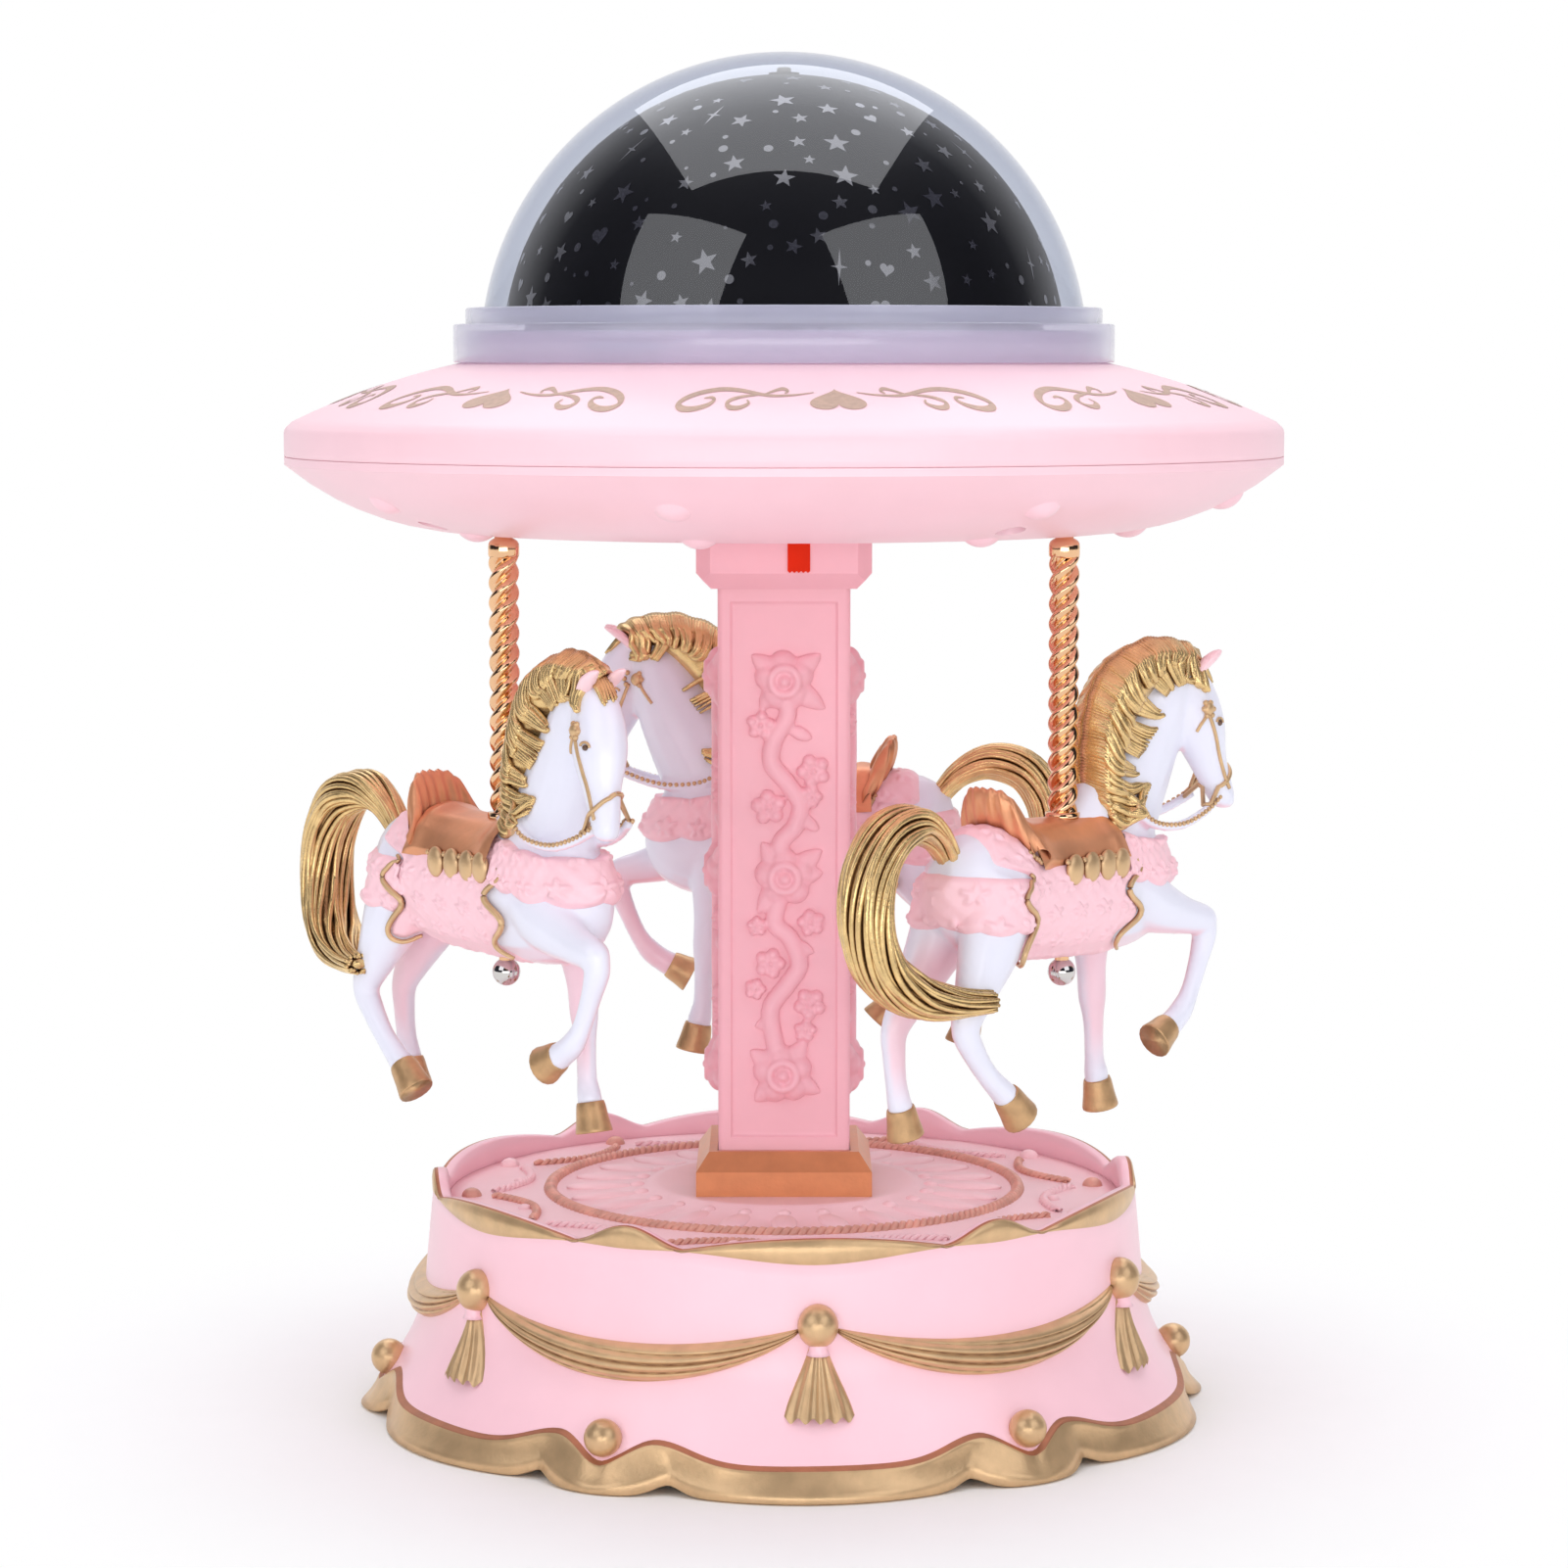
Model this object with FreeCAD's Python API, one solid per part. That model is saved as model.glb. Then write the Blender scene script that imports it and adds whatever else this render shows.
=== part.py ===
# Carousel music box. Millimetres and degrees, +Z up, origin at the middle of the base's lower edge,
# with the front towards -Y. A clockwork movement in the drum base turns a shaft inside the column.
# The shaft carries a canopy with three horses on twisted poles and a star lamp under a dome.
import FreeCAD, Part
import math
import os

V = FreeCAD.Vector
UP = V(0, 0, 1)

# Clearances shared by every fit
RUN = 0.05          # radial, shaft in a bearing
FIT = 0.02          # radial, pressed or glued fit
SLIDE = 0.15        # per side, between parts that drop into each other
FREE = 0.3          # between parts of different bodies

# Base drum
SIDES = 6
TASSEL_ANGLE = -85.0
RIM_RADIUS = 60.8
RIM_Z = 38.0
RIM_SINK = 1.0
CREST_RISE = 2.2
HUMP_RISE = 3.2
HUMP_HALF_ANGLE = 9.5
WAIST_RADIUS = 62.2
WAIST_Z = 23.0
SKIRT_RADIUS = 69.6
SKIRT_Z = 5.0
SKIRT_BOW = 1.6
SHELL_WALL = 2.5
FOOT_RADIUS = 73.8
FOOT_BEAD_RADIUS = 73.9
FOOT_CUSP_RADIUS = 70.0
FOOT_WALL = 5.6
CAVITY_STEP = 2.0
LEDGE_WIDTH = 2.5
LEDGE_THICK = 2.0

# Ornament on the drum
RELIEF = 2.4
KNOB_RADIUS = 3.35
KNOB_Z = 26.5
KNOB_SINK = 2.6
TASSEL_TOP_Z = 24.5
TASSEL_END_Z = 11.8
TASSEL_TOP_WIDTH = 3.2
TASSEL_END_WIDTH = 11.3
TASSEL_END_BOW = 1.2
SWAG_TOP_Z = 22.8
SWAG_LOW_Z = 16.3
BEAD_RADIUS = 3.35
BEAD_Z = 8.4
BEAD_SINK = 1.85

# Deck
DECK_THICK = 3.0
DECK_EDGE_DROP = 2.0
DECK_PAD_RISE = 2.0
DECK_PAD_RADIUS = 21.0
DECK_PAD_MARGIN = 2.0
ROPE_CIRCLE = 40.6
ROPE_RADIUS = 1.0
PAD_RING_CIRCLE = 22.2
PAD_RING_RADIUS = 0.9

# Column, plinth and capital
COLUMN_WIDTH = 22.5
COLUMN_WALL = 2.0
COLUMN_TOP_Z = 145.6
PANEL_BORDER = 2.3
PANEL_DEPTH = 0.5
PANEL_END_MARGIN = 5.0
PLINTH_WIDTH = 30.0
PLINTH_TOP_WIDTH = 25.6
PLINTH_HEIGHT = 7.4
PLINTH_BEVEL = 3.2
CAPITAL_WIDTH = 29.7
CAPITAL_NECK_WIDTH = 24.6
CAPITAL_HEIGHT = 9.1
CAPITAL_CHAMFER = 2.7
CAPITAL_SOCKET = 4.0
CAPITAL_CORNER = 2.4
ROSE_RADIUS = 4.9
ROSE_RISE = 2.2
BLOSSOM_RADIUS = 2.7
BLOSSOM_RISE = 1.5
STEM_RADIUS = 1.3
STEM_SWAY = 2.6
TAB_WIDTH = 3.8
TAB_LENGTH = 6.3
TAB_OFFSET = 2.5
TAB_THICK = 0.3
TAB_TEETH = 5
TAB_TOOTH = 0.35

# Shaft and its bearing at the capital
SHAFT_RADIUS = 3.0
SHAFT_TOP_RISE = 8.0
BUSH_RADIUS = 5.0
BUSH_FLANGE_RADIUS = 8.0
BUSH_FLANGE_THICK = 1.0
BUSH_LENGTH = 5.0
WASHER_THICK = 0.5
THRUST_GAP = 0.1
HUB_RADIUS = 7.0
HUB_FLANGE_RADIUS = 14.0
HUB_FLANGE_THICK = 2.0
HUB_TOP_RADIUS = 6.0
HUB_SCREWS = 3
HUB_SCREW_ANGLE = 30.0

# Canopy
CANOPY_RADIUS = 85.0
CANOPY_GAP = 0.5
CANOPY_FLAT_RADIUS = 57.0
CANOPY_LOWER_HEIGHT = 12.6
CANOPY_BOWL_EDGE = 1.3
CANOPY_BOWL_BOW = 2.4
CANOPY_RIM_HEIGHT = 5.2
CANOPY_CROWN_RISE = 11.2
CANOPY_CROWN_BOW = 1.2
CANOPY_WALL = 2.2
CANOPY_SCREWS = 4
CANOPY_SCREW_CIRCLE = 67.5
CANOPY_SCREW_ANGLE = 32.0
PIPS = 8
PIP_RADIUS = 4.0
PIP_RISE = 1.1
PIP_CIRCLES = (75.0, 59.3)
PIP_ANGLE = 32.0

# Dome and its twist-lock collar
BOSS_RADIUS = 52.0
BOSS_WALL = 2.2
BOSS_RISE = 4.4
LUGS = 3
LUG_ANGLE = 16.0
LUG_WIDTH = 1.3
LUG_THICK = 1.4
COLLAR_RADIUS = 56.3
COLLAR_WALL = 2.0
COLLAR_STEP_RADIUS = 54.2
COLLAR_STEP_HEIGHT = 2.7
COLLAR_SHELF = 1.2
DOME_RADIUS = 51.8
DOME_WALL = 1.6
DOME_SINK = 5.9
STAR_RADIUS = 48.0
STAR_WALL = 1.5
NUB_RADIUS = 1.5
NUB_RISE = 0.8

# Star lamp and its battery box
LAMP_LEDGE_WIDTH = 3.5
LAMP_LEDGE_THICK = 1.4
LAMP_PLATE_THICK = 1.6
LAMP_BOARD_WIDTH = 20.0
LAMP_BOARD_THICK = 1.6
LED_RADIUS = 2.5
LED_HEIGHT = 2.0
CELLS = 3
CELL_RADIUS = 5.25
CELL_LENGTH = 44.5
CELL_CIRCLE = 24.0
TRAY_WALL = 1.5
TRAY_DEPTH = 7.0
TRAY_FLOOR = 1.2

# Light switch under the canopy
SWITCH_ANGLE = 150.0
SWITCH_CIRCLE = 43.0
SWITCH_LENGTH = 13.0
SWITCH_WIDTH = 7.0
SWITCH_HEIGHT = 5.0
SWITCH_TRAVEL = 3.0
KNOB_LENGTH = 3.0
KNOB_WIDTH = 2.2
KNOB_DROP = 1.5
KNOB_FLANGE = 1.5
KNOB_FLANGE_THICK = 1.6

# Poles and horses
HORSES = 3
POLE_CIRCLE = 53.5
POLE_ANGLE = 210.0
HORSE_TURNS = (12.0, -13.0, 0.0)
SADDLE_Z = 104.2
STRAND_RADIUS = 1.35
STRAND_OFFSET = 1.2
STRANDS = 3
STRAND_LEAD = 9.9
POLE_FLANGE_RADIUS = 2.9
POLE_FLANGE_THICK = 1.2
POLE_CAP_RADIUS = 2.6
POLE_CAP_HEIGHT = 3.5
POLE_CAP_TAPER = 1.2
POLE_STEM_RADIUS = 1.5
POLE_PIN_RADIUS = 1.2
POLE_NUT_FLATS = 5.5
POLE_NUT_THICK = 2.4
BALL_RADIUS = 2.35
BALL_GAP = 0.15
BELLY_Z = 81.0

# Movement
PLATE_Z = 10.0
PLATE_THICK = 1.6
PLATE_SPACE = 17.9
PLATE_MARGIN = 2.0
PILLAR_RADIUS = 2.4
PILLAR_ANGLES = (75.0, 165.0, 245.0, 310.0)
MODULE = 0.5
PRESSURE = math.radians(25.0)
BACKLASH = 0.08
BARREL_TEETH = 80
CYLINDER_TEETH = 32
WHEEL_TEETH = 36
PINION_TEETH = 12
CYLINDER_DIRECTION = 0.0
TRAIN_DIRECTION = 60.0
GOVERNOR_DIRECTION = 130.0
GEAR_LIFT = 1.0
GEAR_FACE = 2.4
WHEEL_FACE = 1.4
WHEEL_STEP = 0.6
ARBOR_RADIUS = 1.2
PIVOT_RADIUS = 0.8
END_SHAKE = 0.3
BARREL_WALL = 1.4
BARREL_FLOOR = 1.5
BARREL_HEIGHT = 13.6
LID_BOSS_RADIUS = 5.5
LID_BOSS_HEIGHT = 2.7
WIND_RADIUS = 3.5
WIND_COLLAR_RADIUS = 5.2
WIND_END_RADIUS = 2.2
SPRING_STRIP = 0.5
SPRING_PITCH = 1.6
SPRING_TURNS = 7
DRUM_RADIUS = 6.0
PIN_RADIUS = 0.2
PIN_LENGTH = 0.6
PINS = 24
NOTES = 12
TINE_LENGTH = 9.0
TINE_GAP = 0.25
COMB_THICK = 0.6
COMB_ROOT = 6.0
BRACKET_THICK = 4.5
FAN_RADIUS = 8.5
FAN_HEIGHT = 6.0
FAN_THICK = 0.6
MOVEMENT_SCREW_CIRCLE = 36.0
MOVEMENT_SCREW_ANGLES = (110.0, 200.0, 280.0)

# Underside and winding key
BOTTOM_RECESS = 1.5
BOTTOM_THICK = 2.0
CUP_RADIUS = 17.0
CUP_WALL = 1.5
CUP_CEILING_Z = 7.5
CUP_HOLE_RADIUS = 4.6
KEY_HUB_RADIUS = 4.4
KEY_CLEAR = 1.2
KEY_HEIGHT = 5.6
KEY_SPAN = 26.0
KEY_THICK = 2.4
BOSS_SCREW_RADIUS = 2.8
BOSS_SCREW_HEIGHT = 9.0
BOSS_WEB = 2.0
COLUMN_BOSS_RADIUS = 2.6
COLUMN_BOSS_OVERLAP = 0.6
COLUMN_BOSS_HEIGHT = 14.0

# Screws
SCREW_RADIUS = 1.2
SCREW_HEAD_RADIUS = 2.3
SCREW_HEAD_HEIGHT = 1.2
SCREW_SLOT = 0.5
BOTTOM_SCREW_LENGTH = 8.0
COLUMN_SCREW_LENGTH = 12.0
CANOPY_SCREW_LENGTH = 9.0
CANOPY_SCREW_DEPTH = 8.0
HUB_SCREW_LENGTH = 3.4
MOVEMENT_SCREW_LENGTH = 5.2
COMB_SCREW_LENGTH = 3.4

# Heights that follow from the sizes above
DECK_TOP_Z = RIM_Z - DECK_EDGE_DROP
DECK_SEAT_Z = DECK_TOP_Z - DECK_THICK
PAD_Z = DECK_TOP_Z + DECK_PAD_RISE
CAPITAL_Z = COLUMN_TOP_Z - CAPITAL_SOCKET
CAPITAL_TOP_Z = CAPITAL_Z + CAPITAL_HEIGHT
CANOPY_Z = CAPITAL_TOP_Z + CANOPY_GAP
FLOOR_Z = CANOPY_Z + CANOPY_WALL
PARTING_Z = CANOPY_Z + CANOPY_LOWER_HEIGHT
EAVE_Z = PARTING_Z + CANOPY_RIM_HEIGHT
CROWN_Z = EAVE_Z + CANOPY_CROWN_RISE
BOSS_TOP_Z = CROWN_Z + BOSS_RISE
SHELF_Z = BOSS_TOP_Z + FREE
DOME_SEAT_Z = SHELF_Z + COLLAR_SHELF
DOME_CENTRE_Z = DOME_SEAT_Z - DOME_SINK
BUSH_SEAT_Z = CAPITAL_TOP_Z - CANOPY_GAP - WASHER_THICK - BUSH_FLANGE_THICK
WASHER_Z = BUSH_SEAT_Z + BUSH_FLANGE_THICK
HUB_Z = WASHER_Z + WASHER_THICK + THRUST_GAP
INNER_RIM = RIM_RADIUS - SHELL_WALL
OPENING_RADIUS = SKIRT_RADIUS - FOOT_WALL
SECTOR = 360.0 / SIDES

# Heights and places of the gear train
PLATE_TOP_Z = PLATE_Z + PLATE_THICK
UPPER_PLATE_Z = PLATE_TOP_Z + PLATE_SPACE
GEAR_Z = PLATE_TOP_Z + GEAR_LIFT
BARREL_TOP_Z = GEAR_Z + BARREL_HEIGHT
LID_Z = BARREL_TOP_Z - BARREL_FLOOR
WHEEL_Z = BARREL_TOP_Z + WHEEL_STEP
TRAIN_WHEEL_Z = WHEEL_Z - WHEEL_STEP - WHEEL_FACE
DRUM_Z = GEAR_Z + GEAR_FACE + WHEEL_STEP
DRUM_TOP_Z = TRAIN_WHEEL_Z - WHEEL_STEP
SHAFT_Z = LID_Z + BARREL_FLOOR / 3.0
TOOTH_RISE = 0.9 * MODULE
TOOTH_DROP = 1.2 * MODULE
BARREL_PITCH = MODULE * BARREL_TEETH / 2.0
BARREL_RADIUS = BARREL_PITCH - TOOTH_DROP - FREE
CYLINDER_SPAN = MODULE * (BARREL_TEETH + CYLINDER_TEETH) / 2.0
TRAIN_SPAN = MODULE * (WHEEL_TEETH + PINION_TEETH) / 2.0


def polar(radius, angle, z=0.0):
    """Point at a radius and an angle in degrees round the main axis."""
    turn = math.radians(angle)
    return V(radius * math.cos(turn), radius * math.sin(turn), z)


CYLINDER_AT = polar(CYLINDER_SPAN, CYLINDER_DIRECTION)
TRAIN_AT = CYLINDER_AT + polar(TRAIN_SPAN, TRAIN_DIRECTION)
GOVERNOR_AT = TRAIN_AT + polar(TRAIN_SPAN, GOVERNOR_DIRECTION)
WHEEL_TIP = MODULE * (WHEEL_TEETH / 2.0 + 1.0)
PLATE_RADIUS = TRAIN_AT.Length + WHEEL_TIP + PLATE_MARGIN
PILLAR_CIRCLE = PLATE_RADIUS - PILLAR_RADIUS - PLATE_MARGIN / 2.0


def outline(place, start, *steps):
    """Closed wire. A step is an end point, or a pair (point on an arc, end point)."""
    edges = []
    here = start
    for step in steps + (start,):
        if isinstance(step[0], tuple):
            through, end = step
            edges.append(Part.Arc(place(*here), place(*through), place(*end)).toShape())
        else:
            end = step
            if end != here:
                edges.append(Part.makeLine(place(*here), place(*end)))
        here = end
    return Part.Wire(edges)


def spin(start, *steps):
    """Solid of revolution about the main axis from an outline in radius and height."""
    wire = outline(lambda r, z: V(r, 0, z), start, *steps)
    return Part.Face(wire).revolve(V(0, 0, 0), UP, 360)


def bowed(first, last, bow):
    """Point on an arc between two outline points, bow off the middle of the chord, to its left."""
    dr = last[0] - first[0]
    dz = last[1] - first[1]
    chord = math.hypot(dr, dz)
    return ((first[0] + last[0]) / 2.0 - dz / chord * bow, (first[1] + last[1]) / 2.0 + dr / chord * bow)


def rod(radius, low, high, at=V(0, 0, 0)):
    """Upright cylinder between two heights."""
    return Part.makeCylinder(radius, high - low, V(at.x, at.y, low))


def ring(outer, inner, low, high, at=V(0, 0, 0)):
    """Upright tube between two heights."""
    return rod(outer, low, high, at).cut(rod(inner, low, high, at))


def block(width, depth, low, high, at=V(0, 0, 0)):
    """Upright box centred on a point."""
    return Part.makeBox(width, depth, high - low, V(at.x - width / 2.0, at.y - depth / 2.0, low))


def turned(shape, angle, at=V(0, 0, 0)):
    """Copy of a shape turned about an upright axis."""
    copy = shape.copy()
    copy.rotate(at, UP, angle)
    return copy


def moved(shape, shift):
    """Copy of a shape moved by a vector."""
    copy = shape.copy()
    copy.translate(shift)
    return copy


def joined(shapes):
    """One solid from shapes that run into each other."""
    return shapes[0].multiFuse(shapes[1:])


def without(shape, cutters):
    """Shape with all the cutters taken away."""
    return shape.cut(Part.makeCompound(cutters))


def hub_points(count, circle, first=0.0):
    """Points evenly spaced round the main axis."""
    return [polar(circle, first + 360.0 * k / count) for k in range(count)]


def frustum(width, top_width, low, high):
    """Square block that tapers from one width to another."""
    wires = []
    for size, z in ((width, low), (top_width, high)):
        half = size / 2.0
        corners = [V(-half, -half, z), V(half, -half, z), V(half, half, z), V(-half, half, z)]
        wires.append(Part.makePolygon(corners + corners[:1]))
    return Part.makeLoft(wires, True, True)


def screw(length, seat, up=True):
    """Slotted screw whose head rests on a seat point, with its shank going up or down from it."""
    head = rod(SCREW_HEAD_RADIUS, -SCREW_HEAD_HEIGHT, 0.0)
    slot = block(2.0 * SCREW_HEAD_RADIUS, SCREW_SLOT, -SCREW_HEAD_HEIGHT, -SCREW_HEAD_HEIGHT / 2.0)
    body = head.fuse(rod(SCREW_RADIUS, 0.0, length)).cut(slot)
    if not up:
        body.rotate(V(0, 0, 0), V(1, 0, 0), 180)
    return moved(body, seat)


# Base drum

def drum_body(offset):
    """Solid of the drum's outer wall, grown by an offset."""
    skirt = (SKIRT_RADIUS + offset, SKIRT_Z)
    waist = (WAIST_RADIUS + offset, WAIST_Z)
    return spin((0, 0), (SKIRT_RADIUS + offset, 0), skirt, (bowed(skirt, waist, SKIRT_BOW), waist),
                (RIM_RADIUS + offset, RIM_Z), (0, RIM_Z))


def drum_radius(z):
    """Radius of the drum's outer wall at a height between the skirt and the waist."""
    share = (z - SKIRT_Z) / (WAIST_Z - SKIRT_Z)
    return SKIRT_RADIUS + (WAIST_RADIUS - SKIRT_RADIUS) * share - 4.0 * SKIRT_BOW * share * (1.0 - share)


BEAD_CIRCLE = drum_radius(BEAD_Z) + BEAD_RADIUS - BEAD_SINK


def inner_wall(z):
    """Radius of the drum's inner wall at a height between the waist and the rim."""
    waist = WAIST_RADIUS - SHELL_WALL
    return waist + (INNER_RIM - waist) * (z - WAIST_Z) / (RIM_Z - WAIST_Z)


def deck_edge():
    """Radius of the deck, which drops in through the rim and rests between the walls."""
    return min(INNER_RIM, inner_wall(DECK_SEAT_Z), inner_wall(DECK_TOP_Z)) - SLIDE


def drum_cavity():
    """Space inside the drum, open above and below."""
    return spin((0, -SKIRT_Z), (OPENING_RADIUS, -SKIRT_Z), (OPENING_RADIUS, SKIRT_Z + CAVITY_STEP),
                (WAIST_RADIUS - SHELL_WALL, WAIST_Z), (INNER_RIM, RIM_Z), (INNER_RIM, 2.0 * RIM_Z),
                (0, 2.0 * RIM_Z))


def lobed_wire(lobe, bead_lobe, cusp, z):
    """Plan of twelve arcs: wide lobes under the tassels and narrow ones under the beads."""
    edges = []
    for k in range(SIDES):
        middle = TASSEL_ANGLE + SECTOR * k
        half = SECTOR / 2.0 - HUMP_HALF_ANGLE
        lobes = ((middle, half, lobe), (middle + SECTOR / 2.0, HUMP_HALF_ANGLE, bead_lobe))
        for centre, reach, peak in lobes:
            edges.append(Part.Arc(polar(cusp, centre - reach, z), polar(peak, centre, z),
                                  polar(cusp, centre + reach, z)).toShape())
    return Part.Wire(edges)


def crest(angle, half_angle, rise):
    """Raised stretch of the rim, with an arched top edge."""
    half_chord = RIM_RADIUS * math.sin(math.radians(half_angle))
    arch = (half_chord ** 2 + rise ** 2) / (2.0 * rise)
    roll = Part.makeCylinder(arch, 2.0 * RIM_RADIUS, V(0, 0, RIM_Z + rise - arch), V(1, 0, 0))
    band = ring(RIM_RADIUS, INNER_RIM, RIM_Z - RIM_SINK, RIM_Z + 2.0 * rise)
    sector = Part.makeCylinder(2.0 * RIM_RADIUS, RIM_Z + 2.0 * HUMP_RISE, V(0, 0, 0), UP, SECTOR)
    sector.rotate(V(0, 0, 0), UP, -SECTOR / 2.0)
    return turned(band.common(roll).common(sector), angle)


def swag(angle):
    """Cloth swag between two knobs, raised from the drum's wall."""
    reach = WAIST_RADIUS * math.sin(math.radians(SECTOR / 2.0))
    depth = WAIST_RADIUS / 2.0
    wire = outline(lambda t, z: V(depth, t, z), (-reach, KNOB_Z), ((0, SWAG_TOP_Z), (reach, KNOB_Z)),
                   ((0, SWAG_LOW_Z), (-reach, KNOB_Z)))
    return turned(Part.Face(wire).extrude(V(WAIST_RADIUS, 0, 0)), angle)


def tassel(angle):
    """Flared tassel below a knob."""
    top = TASSEL_TOP_WIDTH / 2.0
    end = TASSEL_END_WIDTH / 2.0
    depth = WAIST_RADIUS / 2.0
    wire = outline(lambda t, z: V(depth, t, z), (-top, TASSEL_TOP_Z), (top, TASSEL_TOP_Z),
                   (end, TASSEL_END_Z), ((0, TASSEL_END_Z - TASSEL_END_BOW), (-end, TASSEL_END_Z)))
    return turned(Part.Face(wire).extrude(V(WAIST_RADIUS, 0, 0)), angle)


def base_shell():
    tassels = [TASSEL_ANGLE + SECTOR * k for k in range(SIDES)]
    beads = [angle + SECTOR / 2.0 for angle in tassels]
    foot = Part.makeLoft([lobed_wire(FOOT_RADIUS, FOOT_BEAD_RADIUS, FOOT_CUSP_RADIUS, 0.0),
                          lobed_wire(SKIRT_RADIUS, SKIRT_RADIUS, SKIRT_RADIUS, SKIRT_Z)], True, True)
    shell = joined([drum_body(0.0), foot])
    relief = drum_body(RELIEF)
    drapes = joined([swag(angle) for angle in beads] + [tassel(angle) for angle in tassels])
    shell = shell.fuse(drapes.common(relief))
    rounds = [Part.makeSphere(KNOB_RADIUS, polar(WAIST_RADIUS + KNOB_RADIUS - KNOB_SINK, angle, KNOB_Z))
              for angle in tassels]
    rounds += [Part.makeSphere(BEAD_RADIUS, polar(BEAD_CIRCLE, angle, BEAD_Z)) for angle in beads]
    crests = [crest(angle, SECTOR / 2.0 - HUMP_HALF_ANGLE, CREST_RISE) for angle in tassels]
    crests += [crest(angle, HUMP_HALF_ANGLE, HUMP_RISE) for angle in beads]
    shell = shell.multiFuse(rounds + crests).cut(drum_cavity())
    ledge = ring(SKIRT_RADIUS + WAIST_RADIUS, deck_edge() - LEDGE_WIDTH,
                 DECK_SEAT_Z - LEDGE_THICK, DECK_SEAT_Z)
    seats = bottom_screw_points()
    foot_z = BOTTOM_RECESS + BOTTOM_THICK
    head_z = foot_z + BOSS_SCREW_HEIGHT
    bosses = [rod(BOSS_SCREW_RADIUS, foot_z, head_z, at) for at in seats]
    webs = []
    for k, at in enumerate(seats):
        web = block(WAIST_RADIUS, BOSS_WEB, foot_z, head_z, V(at.Length + WAIST_RADIUS / 2.0, 0, 0))
        webs.append(turned(web, TASSEL_ANGLE + SECTOR * k))
    seated = Part.makeCompound([ledge] + webs).common(drum_body(-SHELL_WALL / 2.0))
    pilots = [rod(SCREW_RADIUS + FIT, 0.0, BOTTOM_RECESS + BOTTOM_SCREW_LENGTH + FREE, at) for at in seats]
    return without(shell.multiFuse(seated.Solids + bosses), pilots)


def bottom_screw_points():
    return hub_points(SIDES, OPENING_RADIUS - BOSS_SCREW_RADIUS - FREE, TASSEL_ANGLE)


def bottom_plate():
    low = BOTTOM_RECESS
    top = low + BOTTOM_THICK
    cup = rod(CUP_RADIUS + CUP_WALL, low, CUP_CEILING_Z + CUP_WALL)
    plate = rod(OPENING_RADIUS - SLIDE, low, top).fuse(cup)
    holes = [rod(SCREW_RADIUS + SLIDE, low, top, at) for at in bottom_screw_points()]
    holes += [rod(CUP_RADIUS, low, CUP_CEILING_Z), rod(CUP_HOLE_RADIUS, low, CUP_CEILING_Z + CUP_WALL)]
    return without(plate, holes)


def bottom_screws():
    seats = [at + UP * BOTTOM_RECESS for at in bottom_screw_points()]
    return Part.makeCompound([screw(BOTTOM_SCREW_LENGTH, at) for at in seats])


def stage_deck():
    edge = deck_edge()
    bore = SHAFT_RADIUS + 2.0 * FREE
    deck = spin((bore, DECK_SEAT_Z), (edge, DECK_SEAT_Z), (edge, DECK_TOP_Z), (ROPE_CIRCLE, DECK_TOP_Z),
                (DECK_PAD_RADIUS + DECK_PAD_MARGIN, PAD_Z), (bore, PAD_Z))
    ropes = [Part.makeTorus(ROPE_CIRCLE, ROPE_RADIUS, V(0, 0, DECK_TOP_Z)),
             Part.makeTorus(PAD_RING_CIRCLE, PAD_RING_RADIUS, V(0, 0, PAD_Z))]
    points = [polar(MOVEMENT_SCREW_CIRCLE, angle) for angle in MOVEMENT_SCREW_ANGLES]
    spacers = [rod(2.0 * SCREW_HEAD_RADIUS, UPPER_PLATE_Z + PLATE_THICK, DECK_SEAT_Z, at) for at in points]
    pilots = [rod(SCREW_RADIUS + FIT, UPPER_PLATE_Z, UPPER_PLATE_Z + MOVEMENT_SCREW_LENGTH + FIT, at)
              for at in points]
    pilots += [rod(SCREW_RADIUS + SLIDE, DECK_SEAT_Z, PAD_Z, at) for at in column_screw_points()]
    return without(deck.multiFuse(ropes + spacers), pilots)


# Column

def column_screw_points():
    reach = COLUMN_WIDTH / 2.0 - COLUMN_WALL - COLUMN_BOSS_RADIUS + COLUMN_BOSS_OVERLAP
    return [V(reach * sx, reach * sy, 0) for sx in (-1, 1) for sy in (-1, 1)]


def dome_cap(radius, rise, at, direction):
    """Rounded boss that stands out from a flat face."""
    sphere = (radius ** 2 + rise ** 2) / (2.0 * rise)
    ball = Part.makeSphere(sphere, at - direction * (sphere - rise))
    return ball.common(Part.makeCylinder(radius, 2.0 * rise, at - direction * rise, direction))


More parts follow.
